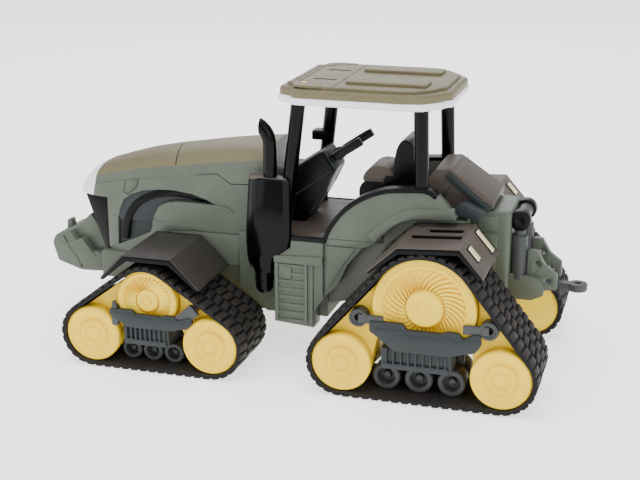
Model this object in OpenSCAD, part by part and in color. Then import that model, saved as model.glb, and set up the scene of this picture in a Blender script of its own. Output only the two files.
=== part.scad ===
/* [Overall] */
// Width over the outer edges of the belts
over_w = 190; // [176:1:204]
// Width of one belt
belt_w = 53; // [50:1:56]
// Length from the front bracket to the drawbar eye
over_l = 390; // [384:1:420]
// Half width of the main body beside the tracks
body_hw = 38; // [36:1:39]

/* [Rear tracks] */
// Distance of the rear axle behind the middle of the tractor
rear_axle_back = 102; // [98:1:106]
// Height of the rear axle
rear_axle_z = 65; // [60:1:68]
// Radius of the rear drive wheels
rear_drive_r = 33.5; // [30:0.5:34]
// Radius of the rear idlers
rear_idler_r = 19.8; // [17:0.2:21]
// Distance from the rear axle forward to the front idler
rear_idler_ahead = 53.5; // [50:0.5:60]
// Distance from the rear axle back to the rear idler
rear_idler_behind = 50.5; // [48:0.5:60]
// Radius of the rear mid rollers
rear_roller_r = 9.2; // [7:0.2:9.6]
// Spacing of the rear mid rollers
rear_roller_pitch = 21.5; // [20:0.5:24]

/* [Front tracks] */
// Distance of the front axle ahead of the middle of the tractor
front_axle_ahead = 87.3; // [84:0.1:92]
// Height of the front axle
front_axle_z = 50.5; // [48:0.5:54]
// Radius of the front drive wheels
front_drive_r = 21.5; // [18:0.5:23]
// Radius of the front idlers
front_idler_r = 19.5; // [16:0.5:20]
// Distance from the front axle forward to the front idler
front_idler_ahead = 40.4; // [39:0.1:46]
// Distance from the front axle back to the rear idler
front_idler_behind = 45.3; // [44:0.1:50]
// Radius of the front mid rollers
front_roller_r = 7.2; // [6:0.2:7.4]
// Spacing of the front mid rollers
front_roller_pitch = 15.5; // [15:0.1:18]

/* [Belts and wheels] */
// Thickness of a belt with its lugs
belt_t = 3.6; // [2.4:0.2:4.4]
// Clearance between a wheel and the belt round it
wheel_gap = 0.3; // [0.2:0.1:0.5]
// Radial clearance of a shaft in its hole
run_gap = 0.05; // [0.02:0.01:0.1]
// Radius of the fixed axle stubs
axle_r = 5; // [4:0.5:6]
// Radius of the drive wheel's sleeve
sleeve_r = 9; // [8:0.5:10]
// Radius of the idler shafts
idler_pin_r = 3; // [2:0.5:4]
// Radius of the roller shafts
roller_pin_r = 2; // [1.5:0.5:3]

/* [Fenders] */
// Thickness of the fender sheet
fender_t = 2.2; // [1.4:0.2:2.6]

/* [Cab] */
// Height of the cab floor's top
floor_z = 92; // [90:1:94]
// Radius of the roof pillars
pillar_r = 4.8; // [3:0.2:5.4]
// Height of the roof's white trim
trim_z = 181.5; // [170:0.5:195]
// Depth of the white trim
trim_h = 4.5; // [3:0.5:6]
// Thickness of the roof shell above the trim
roof_h = 6.5; // [4:0.5:8]
// Half width of the roof
roof_hw = 52; // [48:1:54]

/* [Seat and controls] */
// Half width of the seat
seat_hw = 16; // [12:1:18]
// Lean of the steering column above level
column_lean = 34; // [28:1:40]
// Radius of the steering shaft
column_r = 2.5; // [2:0.1:3]

/* [Drawbar] */
// Radius of the drawbar eye's hole
eye_r = 2.6; // [2:0.1:3]
// Thickness of the drawbar tongue
tongue_t = 5; // [4:0.5:6]
// Radius of the drawbar's pivot pin
pivot_r = 2.4; // [2:0.1:3]

/* [Hidden] */
$fn = 64;
rear_x = -rear_axle_back;
front_x = front_axle_ahead;
outer_w = over_w / 2;
inner_w = outer_w - belt_w;
nose_x = over_l / 2;
tail_x = -over_l / 2;
land = wheel_gap + belt_t;
// Inset that keeps a straight run from meeting a round exactly at its tangent
tangent_in = 0.004;

// Depth layers of a track unit, measured out from the middle of the tractor
idler_face = outer_w - 1.5;
drive_face = outer_w - 3.5;
beam_out = outer_w + 0.5;
beam_in = outer_w - 3;
leg_out = outer_w - 9;
web_in = outer_w - 29;
web_out = outer_w - 21;
roller_face = outer_w - 12;
bracket_in = outer_w - 31.6;
bracket_out = outer_w - 25.4;
disc_in = inner_w + 1.5;

// A unit holds: axle x, axle z, drive r, idler r, ahead, behind, roller r, roller pitch, roller dx
rear_unit = [rear_x, rear_axle_z, rear_drive_r, rear_idler_r, rear_idler_ahead, rear_idler_behind,
    rear_roller_r, rear_roller_pitch, 4];
front_unit = [front_x, front_axle_z, front_drive_r, front_idler_r, front_idler_ahead,
    front_idler_behind, front_roller_r, front_roller_pitch, 0.8];

function drive_r(u) = u[2];
function idler_r(u) = u[3];
function idler_drop(u) = u[1] - (u[3] + land);
function front_idler_at(u) = [u[4], -idler_drop(u)];
function rear_idler_at(u) = [-u[5], -idler_drop(u)];
function leg_from(u, at) = abs(at[0]) - u[3] * 1.12;
function shelf_low(u) = 2 * u[6] + land - u[1] + 1.2;
function shelf_top(u) = shelf_low(u) + min(5.5, -u[2] - 0.8 - shelf_low(u));
function shelf_front(u) = min(u[8] + u[7] * 1.24, leg_from(u, front_idler_at(u)) - 0.5);
function shelf_rear(u) = max(u[8] - u[7] * 1.24, 0.5 - leg_from(u, rear_idler_at(u)));
function roller_at(u, k) = [u[8] + (2 - k) * u[7], u[6] + land - u[1]];

// The two points where an outer tangent touches two circles, on the right of the way from a to b
function tangent(a, ra, b, rb) =
    let (d = b - a, l = norm(d), v = d / l, k = (ra - rb) / l)
    let (n = k * v + sqrt(1 - k * k) * [v[1], -v[0]])
    [a + ra * n, b + rb * n];

body_green = "#747c70";
top_olive = "#8b8370";
taupe = "#6a605a";
black_plastic = "#17171b";
wheel_yellow = "#e8d27c";
slate = "#4a5052";
roller_grey = "#5f6164";
belt_black = "#26262a";

// An outline in the side plane, extruded sideways from w1 to w2 on side s (1 left, -1 right)
module slab(s, w1, w2) {
    translate([0, s > 0 ? w2 : -w1, 0])
        rotate([90, 0, 0])
            linear_extrude(w2 - w1)
                children();
}

// An outline in the side plane, extruded across the middle to half width hw
module across(hw) {
    translate([0, hw, 0])
        rotate([90, 0, 0])
            linear_extrude(2 * hw)
                children();
}

// A round bar along the side direction from w1 to w2 on side s, at p = [x, z]
module rod(s, p, r, w1, w2) {
    translate([p[0], s > 0 ? w2 : -w1, p[1]])
        rotate([90, 0, 0])
            cylinder(r = r, h = w2 - w1);
}

// A turned shape about a sideways axis, its outline given as [radius, w]
module turned(s, p, outline) {
    translate([p[0], 0, p[1]])
        rotate([s > 0 ? -90 : 90, 0, 0])
            rotate_extrude()
                polygon(outline);
}

module at_axle(u) {
    translate([u[0], 0, u[1]])
        children();
}

// The triangular loop round the three big wheels, grown by e
module loop_shape(u, e) {
    d = [0, 0];
    f = front_idler_at(u);
    b = rear_idler_at(u);
    rd = drive_r(u) + e;
    ri = idler_r(u) + e;
    pd = rd - tangent_in;
    pk = ri - tangent_in;
    circle(r = rd);
    translate(f)
        circle(r = ri);
    translate(b)
        circle(r = ri);
    polygon(concat(tangent(b, pk, f, pk), tangent(f, pk, d, pd), tangent(d, pd, b, pk)));
}

module belt(u, s) {
    color(belt_black)
        at_axle(u)
            slab(s, inner_w, outer_w)
                difference() {
                    loop_shape(u, land);
                    loop_shape(u, wheel_gap);
                }
}

module drive_wheel(u, s) {
    r = drive_r(u);
    hub_r = r * 0.34;
    dish_r = r * 0.79;
    floor_w = drive_face - r * 0.15;
    bore = axle_r + run_gap;
    color(wheel_yellow)
        turned(s, [u[0], u[1]], [[bore, disc_in], [r, disc_in], [r, disc_in + 7], [sleeve_r + 4, disc_in + 7],
            [sleeve_r, disc_in + 11], [sleeve_r, web_out + 1], [r - 2, drive_face - 9], [r, drive_face - 9],
            [r, drive_face], [dish_r, drive_face], [hub_r + 1.2, floor_w], [hub_r, drive_face],
            [0, drive_face], [0, web_out + 10], [bore, web_out + 10]]);
}

module idler(u, s, at) {
    r = idler_r(u);
    p = [u[0] + at[0], u[1] + at[1]];
    color(wheel_yellow)
        turned(s, p, [[0, disc_in], [r, disc_in], [r, disc_in + 8], [idler_pin_r + 4, disc_in + 8],
            [idler_pin_r, web_in - 1], [idler_pin_r, leg_out + 0.5], [r, leg_out + 0.5], [r, idler_face - 1],
            [r - 1, idler_face], [r * 0.84, idler_face], [r * 0.55, idler_face - 3], [r * 0.5, idler_face - 3],
            [r * 0.48, idler_face - 1], [r * 0.34, idler_face - 1], [r * 0.3, idler_face - 2],
            [0, idler_face - 2]]);
}

module roller(u, s, k) {
    at = roller_at(u, k);
    r = u[6];
    color(roller_grey)
        turned(s, [u[0] + at[0], u[1] + at[1]], [[0, bracket_in - 13], [r, bracket_in - 13],
            [r, bracket_in - 0.4], [roller_pin_r, bracket_in - 0.4], [roller_pin_r, bracket_out + 0.4],
            [r, bracket_out + 0.4], [r, roller_face], [r * 0.62, roller_face], [r * 0.56, roller_face - 6],
            [r * 0.25, roller_face - 6], [r * 0.22, roller_face - 3], [0, roller_face - 3]]);
}

// The part of the loop between one idler and the drive wheel
module leg_shape(u, at) {
    side = at[0] > 0 ? 1 : -1;
    reach = drive_r(u) + idler_r(u) * 4;
    keep = leg_from(u, at);
    difference() {
        intersection() {
            loop_shape(u, -1);
            translate([side > 0 ? keep : -keep - reach, -reach])
                square([reach, reach * 2]);
        }
        circle(r = drive_r(u) + 1);
        for (k = [1 : 3])
            translate(roller_at(u, k))
                circle(r = u[6] + 1);
    }
}

// A flat arm of even-ended width from the axle to one idler
module arm_shape(u, at) {
    hub = sleeve_r + 6;
    tip = idler_pin_r + 5;
    circle(r = hub);
    translate(at)
        circle(r = tip);
    polygon(concat(tangent([0, 0], hub, at, tip), tangent(at, tip, [0, 0], hub)));
}

module carrier(u, s) {
    f = front_idler_at(u);
    b = rear_idler_at(u);
    color(wheel_yellow)
        at_axle(u)
            difference() {
                union() {
                    slab(s, web_in, web_out) {
                        arm_shape(u, f);
                        arm_shape(u, b);
                    }
                    slab(s, web_in, leg_out) {
                        leg_shape(u, f);
                        leg_shape(u, b);
                    }
                }
                rod(s, [0, 0], sleeve_r + run_gap, web_in - 1, leg_out + 1);
                rod(s, f, idler_pin_r + run_gap, web_in - 1, leg_out + 1);
                rod(s, b, idler_pin_r + run_gap, web_in - 1, leg_out + 1);
                slab(s, web_in - 1, leg_out + 1)
                    translate([shelf_rear(u) - 0.4, shelf_low(u) - 30])
                        square([shelf_front(u) - shelf_rear(u) + 0.8, shelf_top(u) - shelf_low(u) + 30.4]);
            }
}

// Outline of the bogie beam, from the unit's own radii
module beam_shape(u) {
    a = u[4] * 0.64;
    b = u[5] * 0.74;
    top = -drive_r(u) * 0.29;
    low = -drive_r(u) * 0.86;
    mid = (top + low) / 2;
    step = (top - low) * 0.2;
    polygon([[a, top], [a * 0.36, top], [a * 0.3, top - step], [-b * 0.36, top - step],
        [-b * 0.4, top - step * 0.6], [-b * 0.62, top - step * 0.6], [-b * 0.7, top - step * 1.6],
        [-b * 0.9, top - step * 0.5], [-b, top - step * 0.6], [-b, mid], [-b * 0.9, low + step * 1.2],
        [-b * 0.42, low], [a * 0.52, low], [a * 0.88, mid], [a, mid + step * 0.6]]);
}

// Ringed end bosses that carry the rear beam on the carrier legs
module beam_bosses(u, s, hole) {
    boss_r = drive_r(u) * 0.18;
    for (e = [-1, 1])
        if (hole) {
            rod(s, [e * drive_r(u) * 1.25, -drive_r(u) * 0.27], boss_r * 0.43, leg_out - 1, beam_out + 1);
        } else {
            rod(s, [e * drive_r(u) * 1.25, -drive_r(u) * 0.27], boss_r, leg_out, outer_w - 0.5);
            slab(s, beam_in, outer_w - 0.8)
                translate([e > 0 ? drive_r(u) * 0.75 : -drive_r(u) * 1.25, -drive_r(u) * 0.36])
                    square([drive_r(u) * 0.5, boss_r]);
        }
}

// Slanted strut and upright fin that carry the front beam on the carrier legs
module beam_struts(u, s) {
    r = drive_r(u);
    slab(s, leg_out, beam_out - 1)
        polygon([[-r * 0.5, -r * 0.86], [-r * 0.98, -r * 0.84], [-r * 1.79, -r * 0.23], [-r * 1.5, r * 0.09]]);
    slab(s, leg_out, beam_out - 1)
        polygon([[r * 0.94, -r * 0.86], [r * 1.16, -r * 0.86], [r * 1.16, -r * 0.45], [r * 1.12, -r * 0.05],
            [r * 1.02, -r * 0.05], [r * 0.94, -r * 0.4]]);
}

module bogie_frame(u, s, struts) {
    low = -drive_r(u) * 0.86;
    x1 = shelf_rear(u);
    x2 = shelf_front(u);
    span = x2 - x1;
    foot = roller_at(u, 2)[1] - roller_pin_r - 2.5;
    color(slate)
        at_axle(u)
            difference() {
                union() {
                    slab(s, beam_in, beam_out)
                        beam_shape(u);
                    slab(s, beam_in, beam_out - 1)
                        translate([x1 + span * 0.1, shelf_low(u)])
                            square([span * 0.8, low + 2 - shelf_low(u)]);
                    slab(s, bracket_in, beam_out - 1)
                        translate([x1, shelf_low(u)])
                            square([span, shelf_top(u) - shelf_low(u)]);
                    slab(s, bracket_in, bracket_out)
                        translate([x1, foot])
                            square([span, shelf_low(u) + 0.1 - foot]);
                    if (struts)
                        beam_struts(u, s);
                    else
                        beam_bosses(u, s, false);
                }
                for (k = [1 : 3])
                    rod(s, roller_at(u, k), roller_pin_r + run_gap, bracket_in - 1, bracket_out + 1);
                for (at = [front_idler_at(u), rear_idler_at(u)])
                    rod(s, at, idler_r(u) + 0.6, bracket_out, beam_out + 1);
                rod(s, [0, 0], drive_r(u) + 0.6, bracket_out, drive_face + 0.3);
                if (!struts)
                    beam_bosses(u, s, true);
            }
}

// Bent sheet over a track: outline points run from the front low corner to the rear low corner
function rear_fender_line() = [[rear_x + 37, rear_axle_z + 23], [rear_x + 17.5, rear_axle_z + 40.6],
    [rear_x - 22, rear_axle_z + 43], [rear_x - 37.2, rear_axle_z + 25.7]];
function front_fender_line() = [[front_x + 31.6, front_axle_z + 15], [front_x + 14.6, front_axle_z + 32.6],
    [front_x - 19.8, front_axle_z + 32.6], [front_x - 39, front_axle_z + 13.6]];

module sheet_shape(line, t) {
    n = len(line) - 1;
    inner = [for (k = [n : -1 : 0]) line[k] - [0, (k == 0 || k == n) ? t * 0.75 : t * 1.1]];
    polygon(concat(line, inner));
}

module rear_fender(s) {
    line = rear_fender_line();
    color(taupe)
        difference() {
            union() {
                slab(s, body_hw, outer_w)
                    sheet_shape(line, fender_t);
                slab(s, body_hw, body_hw + 2)
                    polygon([line[0], line[1], line[2], line[3], [line[3][0] + 4, line[3][1] - 6],
                        [line[0][0] - 6, line[0][1] - 6]]);
            }
            for (k = [0 : 1])
                translate([line[2][0] + 5 + 3 * k, s > 0 ? outer_w - 41 + 13 * k : -outer_w + 35 - 13 * k,
                    rear_axle_z + 30])
                    cube([22 + 5 * k, 6, 20]);
        }
}

module front_fender(s) {
    line = front_fender_line();
    color(taupe)
        union() {
            slab(s, body_hw, outer_w)
                sheet_shape(line, fender_t);
            slab(s, body_hw, body_hw + 2)
                polygon([line[1], line[2], [front_x - 12, front_axle_z + axle_r + 1],
                    [front_x + 12, front_axle_z + axle_r + 1]]);
        }
}

module chassis() {
    color(body_green)
        union() {
            across(30)
                polygon([[-118, 42], [150, 42], [150, 62], [-118, 62]]);
            across(34)
                polygon([[40, 62], [146, 62], [142, 88], [40, 88]]);
            across(body_hw)
                polygon([[-24, 32], [20, 32], [40, 44], [40, 88], [22, 88], [22, floor_z - 3],
                    [-24, floor_z - 3]]);
            across(body_hw)
                polygon([[-118, 50], [-60, 50], [-24, 42], [-24, floor_z - 3], [-62, floor_z - 3], [-62, 109],
                    [-118, 109]]);
            for (s = [-1, 1]) {
                slab(s, body_hw - 1, 52)
                    polygon([[-18, 28], [8, 30], [10.4, 34], [10.4, floor_z - 3], [-24, floor_z - 3], [-24, 50],
                        [-18, 40]]);
                slab(s, body_hw - 1, 48)
                    polygon([[-40, 74], [-34, 60], [-24, 50], [-24, floor_z - 3], [-52, floor_z - 3]]);
                rod(s, [rear_x, rear_axle_z], axle_r, body_hw - 2, web_out + 9);
            }
        }
}

module front_axle() {
    cheek_w = 30.3;
    color(body_green)
        union() {
            across(body_hw)
                translate([front_x - 9, 35])
                    square([18, 7]);
            for (s = [-1, 1]) {
                slab(s, cheek_w, body_hw)
                    polygon([[front_x - 9, 35], [front_x + 9, 35], [front_x + 9, 56], [front_x + 6, 61],
                        [front_x - 6, 61], [front_x - 9, 56]]);
                rod(s, [front_x, front_axle_z], axle_r, body_hw - 1, web_out + 9);
            }
        }
}

module front_bracket() {
    color(body_green)
        union() {
            across(20)
                polygon([[150, 42], [172, 42], [191, 47], [nose_x, 61], [189, 69], [174, 71], [166, 58],
                    [157, 56], [150, 62]]);
            across(14)
                polygon([[150, 62], [157, 56], [166, 58], [174, 71], [163, 84], [152, 62]]);
            across(3)
                polygon([[180, 69], [186, 69], [185, 76], [181, 77]]);
        }
}

// One thin cross slice of the hood: sides at hw, crease at z2, crown at z3
module hood_slice(x, hw, z1, z2, z3) {
    translate([x, 0, 0])
        rotate([90, 0, 90])
            linear_extrude(0.5)
                polygon([[-hw, z1], [hw, z1], [hw * 0.98, z2], [hw * 0.8, z2 + (z3 - z2) * 0.62], [hw * 0.35, z3],
                    [-hw * 0.35, z3], [-hw * 0.8, z2 + (z3 - z2) * 0.62], [-hw * 0.98, z2]]);
}

module hood_outer(g) {
    hull() {
        hood_slice(22, 36 - g, 88, 136 - g, 147 - g);
        hood_slice(84, 33 - g, 88, 127 - g, 139 - g);
    }
    hull() {
        hood_slice(84, 33 - g, 88, 127 - g, 139 - g);
        hood_slice(122, 29.5 - g, 88, 121 - g, 130 - g);
    }
    hull() {
        hood_slice(122, 29.5 - g, 88, 121 - g, 130 - g);
        hood_slice(152 - g, 25 - g, 88, 114 - g, 120 - g);
        hood_slice(163 - g, 19 - g, 101, 106 - g, 113 - g);
    }
}

intake_line = [[136, 88], [132, 101], [117, 108], [88, 112], [74, 110], [59, 105], [70, 104.4], [102, 104],
    [114, 100], [122, 94], [124, 88]];

module hood() {
    color(body_green)
        difference() {
            hood_outer(0);
            difference() {
                hood_outer(2.5);
                translate([150, -40, 80])
                    cube([30, 80, 60]);
            }
            for (s = [-1, 1])
                slab(s, 20, 40)
                    polygon(intake_line);
            across(40)
                polygon([[148, 80], [148, 101], [170, 101], [170, 80]]);
            across(40)
                polygon([[158, 101], [154, 122], [180, 122], [180, 101]]);
        }
}

module nose_cap() {
    color("#f2f2f0")
        intersection() {
            hood_outer(0);
            across(40)
                polygon([[158, 101], [154, 122], [180, 122], [180, 101]]);
        }
}

module grille_insert() {
    color(black_plastic)
        union() {
            for (s = [-1, 1])
                slab(s, 24, 27)
                    polygon(intake_line);
            across(22)
                polygon([[148, 66], [150.3, 63], [163, 101], [148, 101]]);
        }
}

module exhaust() {
    mid_w = body_hw + 8.2;
    color(black_plastic)
        union() {
            slab(1, body_hw, body_hw + 15)
                polygon([[6.3, 131], [10.8, 92], [10.8, 76], [12, 64], [27, 62], [31, 68], [29, 131]]);
            translate([19.2, mid_w, 53])
                cylinder(r = 6.3, h = 13);
            translate([19.2, mid_w, 49])
                cylinder(r1 = 4, r2 = 6.3, h = 4);
            translate([14, mid_w, 130])
                cylinder(r = 4.6, h = 22);
            translate([14, mid_w, 150])
                rotate([0, 11, 0])
                    cylinder(r = 4, h = 22);
        }
}

module cab_floor() {
    color(taupe)
        union() {
            translate([-62, -body_hw + 0.5, floor_z - 3])
                cube([84, body_hw * 2 - 1, 3]);
            for (s = [-1, 1])
                slab(s, body_hw - 1, 50)
                    polygon([[-52, floor_z - 3], [10.4, floor_z - 3], [10.4, floor_z], [-52, floor_z]]);
        }
}

arch_top = 131;
arch_line = [[-24, floor_z], [-27, 99], [-36, 112], [-48, 122], [-64, 129], [-80, arch_top], [-95, arch_top],
    [-106, 121], [-113, 112], [-106, 110.5], [-86, 110.5], [-76, 107], [-68, 100], [-60, floor_z]];

module cab_sides() {
    color(body_green)
        for (s = [-1, 1])
            slab(s, 39.5, 50)
                polygon(arch_line);
}

// Straight round pillar between two points
module pillar(a, b) {
    d = b - a;
    l = norm(d);
    translate(a)
        rotate([0, acos(d[2] / l), atan2(d[1], d[0])])
            rotate([0, 0, 50])
                cylinder(r = pillar_r, h = l);
}

module roll_frame() {
    top = trim_z;
    color(black_plastic)
        difference() {
            union() {
                for (s = [-1, 1]) {
                    pillar([5.5, s * 44.5, floor_z - 1], [-5, s * 43, top + 1]);
                    pillar([-89, s * 44.5, arch_top - 2], [-87, s * 43, top + 1]);
                }
                translate([-1, -49, 138])
                    cube([12, 11, 7]);
            }
            translate([-200, -100, top])
                cube([400, 200, 20]);
            translate([-20, -100, floor_z - 20])
                cube([60, 200, 20]);
            translate([-120, -100, arch_top - 20])
                cube([80, 200, 20]);
        }
}

// Top and bottom points of the console's sloping end face
console_top = [-12, 142.5];
console_low = [-21, 129.5];
column_at = (console_top + console_low) / 2;
column_dir = [-cos(column_lean), sin(column_lean)];

module console() {
    color(black_plastic)
        difference() {
            across(15)
                polygon([[24, floor_z], [21, 120], console_top, console_low, [-14, 115], [-4, 98], [-1, floor_z]]);
            translate([column_at[0], 0, column_at[1]])
                rotate([0, column_lean - 90, 0])
                    translate([0, 0, -12])
                        cylinder(r = column_r + run_gap, h = 30);
        }
}

module steering_yoke() {
    color(black_plastic)
        translate([column_at[0], 0, column_at[1]])
            rotate([0, column_lean - 90, 0])
                union() {
                    translate([0, 0, -10])
                        cylinder(r = column_r, h = 18);
                    translate([-3, -17.5, 4])
                        cube([6, 35, 4]);
                    for (s = [-1, 1])
                        translate([-3, s * 15 - 2.5, 7])
                            cube([6, 5, 22]);
                }
}

module seat_frame() {
    color(black_plastic)
        union() {
            across(seat_hw - 5)
                polygon([[-43, floor_z], [-61.5, floor_z], [-61.5, 116], [-43, 116]]);
            across(seat_hw)
                polygon([[-40, 112], [-70, 112], [-70, 124], [-42, 124], [-39, 119]]);
            across(seat_hw)
                polygon([[-65.5, 124], [-69, 112], [-78, 116], [-80, 138], [-77, 151], [-73, 155], [-68, 154],
                    [-65, 148], [-64, 138]]);
        }
}

module seat_cushion() {
    color(taupe)
        across(seat_hw - 1)
            polygon([[-42.5, 124.3], [-64, 124.3], [-63, 131], [-59, 135], [-51, 136], [-45, 133], [-42, 128]]);
}

roof_half = [[11, 38], [8, 42], [2, 43.5], [-2, 51], [-8, roof_hw], [-78, roof_hw], [-89, 50], [-96, 43],
    [-100, 38], [-101, 33], [-105, 30]];

module roof_outline(g) {
    n = len(roof_half) - 1;
    left = [for (p = roof_half) [p[0] > -40 ? p[0] - g : p[0] + g, p[1] - g]];
    right = [for (k = [n : -1 : 0]) [left[k][0], -left[k][1]]];
    polygon(concat(left, right));
}

module roof_trim() {
    color("#f2f2f0")
        difference() {
            translate([0, 0, trim_z])
                linear_extrude(trim_h)
                    roof_outline(0);
            translate([0, 0, trim_z + 1.6])
                linear_extrude(trim_h)
                    roof_outline(3);
        }
}

module roof() {
    base = trim_z + trim_h;
    color(top_olive)
        union() {
            translate([0, 0, base])
                linear_extrude(roof_h)
                    roof_outline(0.6);
            translate([0, 0, trim_z + 1.6])
                linear_extrude(trim_h)
                    roof_outline(3.2);
            translate([0, 0, base + roof_h - 0.5])
                linear_extrude(2.5)
                    roof_outline(7);
            for (s = [-1, 1])
                translate([-88, s > 0 ? 16 : -32, base + roof_h])
                    cube([58, 16, 3.2]);
        }
}

module rear_housing() {
    color(taupe)
        across(26)
            polygon([[-96, 109], [-92, 118], [-88, 131], [-93, 138], [-103, 139], [-133, 119], [-133, 114],
                [-118, 114], [-118, 109]]);
}

module hitch_housing() {
    base_z = rear_axle_z - 4;
    color(body_green)
        difference() {
            union() {
                across(22)
                    polygon([[-118, 52], [-143, 52], [-146, 60], [-143, 104], [-136, 113.5], [-118, 113.5]]);
                across(20)
                    polygon([[-143, 52], [-160, 52], [-168, 56], [-168, base_z], [-164, 68], [-143, 70]]);
                for (s = [-1, 1])
                    slab(s, 12, 17)
                        polygon([[-156, 68], [-156, 86], [-162, 86], [-168, 76], [-176, 70], [-176, 60],
                            [-164, 58]]);
            }
            across(9)
                polygon([[-146.5, base_z - tongue_t - 0.6], [-180, base_z - tongue_t - 0.6], [-180, base_z],
                    [-146.5, base_z]]);
            for (s = [-1, 1]) {
                translate([-150, s * 15, 66])
                    cylinder(r = 5.6 + run_gap, h = 30);
                rod(s, [-163, 77], 2.4, 11, 18);
            }
            translate([-155, 0, 40])
                cylinder(r = pivot_r, h = 60);
        }
}

module lift_rams() {
    color(roller_grey)
        union() {
            for (s = [-1, 1])
                translate([-150, s * 15, 66])
                    cylinder(r = 5.6, h = 37);
            translate([-150, 19, 106])
                rotate([90, 0, 0])
                    cylinder(r = 7, h = 30);
            translate([-150, 0, 106])
                rotate([90, 0, 0])
                    cylinder(r = 5.5, h = 22);
        }
}

module drawbar() {
    base_z = rear_axle_z - 4;
    z0 = base_z - tongue_t - 0.3;
    eye_x = tail_x + 6.5;
    color(roller_grey)
        difference() {
            union() {
                translate([-155, 0, z0])
                    cylinder(r = 6, h = tongue_t);
                translate([eye_x, -3.6, z0])
                    cube([-155 - eye_x, 7.2, tongue_t]);
                translate([eye_x, 0, z0])
                    cylinder(r = 6.5, h = tongue_t);
                translate([-155, 0, 52.5])
                    cylinder(r = pivot_r - run_gap, h = base_z + 7 - 52.5);
            }
            translate([eye_x, 0, z0 - 1])
                cylinder(r = eye_r, h = tongue_t + 2);
        }
}

module unit_piece(u, s, name) {
    if (name == "belt") belt(u, s);
    if (name == "drive_wheel") drive_wheel(u, s);
    if (name == "front_idler") idler(u, s, front_idler_at(u));
    if (name == "rear_idler") idler(u, s, rear_idler_at(u));
    if (name == "roller_1") roller(u, s, 1);
    if (name == "roller_2") roller(u, s, 2);
    if (name == "roller_3") roller(u, s, 3);
    if (name == "carrier") carrier(u, s);
    if (name == "bogie_frame") bogie_frame(u, s, u == front_unit);
}

unit_names = ["belt", "drive_wheel", "front_idler", "rear_idler", "roller_1", "roller_2", "roller_3",
    "carrier", "bogie_frame"];

chassis();
front_axle();
front_bracket();
hood();
nose_cap();
grille_insert();
exhaust();
cab_floor();
cab_sides();
roll_frame();
console();
steering_yoke();
seat_frame();
seat_cushion();
roof();
roof_trim();
rear_housing();
hitch_housing();
lift_rams();
drawbar();
for (n = unit_names) {
    unit_piece(front_unit, 1, n);
    unit_piece(front_unit, -1, n);
    unit_piece(rear_unit, 1, n);
    unit_piece(rear_unit, -1, n);
}
front_fender(1);  // front_left_fender
front_fender(-1);  // front_right_fender
rear_fender(1);  // rear_left_fender
rear_fender(-1);  // rear_right_fender
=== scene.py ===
from math import acos, atan2, cos, hypot, pi, radians, sin

import bmesh
import bpy
from mathutils import Matrix, Vector


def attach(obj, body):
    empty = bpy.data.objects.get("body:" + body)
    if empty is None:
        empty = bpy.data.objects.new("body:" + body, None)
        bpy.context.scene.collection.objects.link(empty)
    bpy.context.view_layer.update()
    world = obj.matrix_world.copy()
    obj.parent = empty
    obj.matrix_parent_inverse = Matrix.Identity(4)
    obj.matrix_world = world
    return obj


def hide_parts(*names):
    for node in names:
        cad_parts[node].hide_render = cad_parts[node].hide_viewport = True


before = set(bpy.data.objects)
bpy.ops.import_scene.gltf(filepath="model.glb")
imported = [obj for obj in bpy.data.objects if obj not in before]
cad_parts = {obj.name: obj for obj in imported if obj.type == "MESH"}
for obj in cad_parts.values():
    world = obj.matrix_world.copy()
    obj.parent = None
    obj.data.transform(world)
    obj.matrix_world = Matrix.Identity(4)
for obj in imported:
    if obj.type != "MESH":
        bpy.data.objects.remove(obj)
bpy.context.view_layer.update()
print("frame loaded")

mm = 0.001
sides = {"left": 1, "right": -1}


# ---- mesh helpers, all in millimetres

def addPart(bm, part, material=0, rounding=0, segments=2):
    bmesh.ops.remove_doubles(part, verts=part.verts, dist=0.002 * mm)
    bmesh.ops.recalc_face_normals(part, faces=part.faces)
    if rounding:
        creases = [e for e in part.edges if e.calc_face_angle(0) > radians(28)]
        bmesh.ops.bevel(part, geom=creases, offset=rounding * mm, offset_type="OFFSET", affect="EDGES",
                        segments=segments, profile=0.5, material=-1, clamp_overlap=True)
    for face in part.faces:
        face.material_index = material
    mesh = bpy.data.meshes.new("part")
    part.to_mesh(mesh)
    part.free()
    bm.from_mesh(mesh)
    bpy.data.meshes.remove(mesh)


def pushFace(part, corners, push):
    # a face on these corners, pushed out into a closed solid
    face = part.faces.new([part.verts.new(Vector(c) * mm) for c in corners])
    made = bmesh.ops.extrude_face_region(part, geom=[face])["geom"]
    moved = [v for v in made if isinstance(v, bmesh.types.BMVert)]
    bmesh.ops.translate(part, vec=Vector(push) * mm, verts=moved)


def slab(bm, outline, y1, y2, **look):
    # outline in the side plane, as (x, z)
    part = bmesh.new()
    pushFace(part, [(x, y1, z) for x, z in outline], (0, y2 - y1, 0))
    addPart(bm, part, **look)


def deck(bm, outline, z1, z2, **look):
    # outline in the ground plane, as (x, y)
    part = bmesh.new()
    pushFace(part, [(x, y, z1) for x, y in outline], (0, 0, z2 - z1))
    addPart(bm, part, **look)


def block(bm, low, high, **look):
    deck(bm, [(low[0], low[1]), (high[0], low[1]), (high[0], high[1]), (low[0], high[1])], low[2], high[2],
         **look)


def bar(bm, start, end, r1, r2=None, sideCount=28, **look):
    part = bmesh.new()
    start, end = Vector(start), Vector(end)
    along = end - start
    place = Matrix.Translation((start + end) / 2 * mm) @ along.to_track_quat("Z", "Y").to_matrix().to_4x4()
    bmesh.ops.create_cone(part, cap_ends=True, segments=sideCount, radius1=r1 * mm,
                          radius2=(r1 if r2 is None else r2) * mm, depth=along.length * mm, matrix=place)
    addPart(bm, part, **look)


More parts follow.
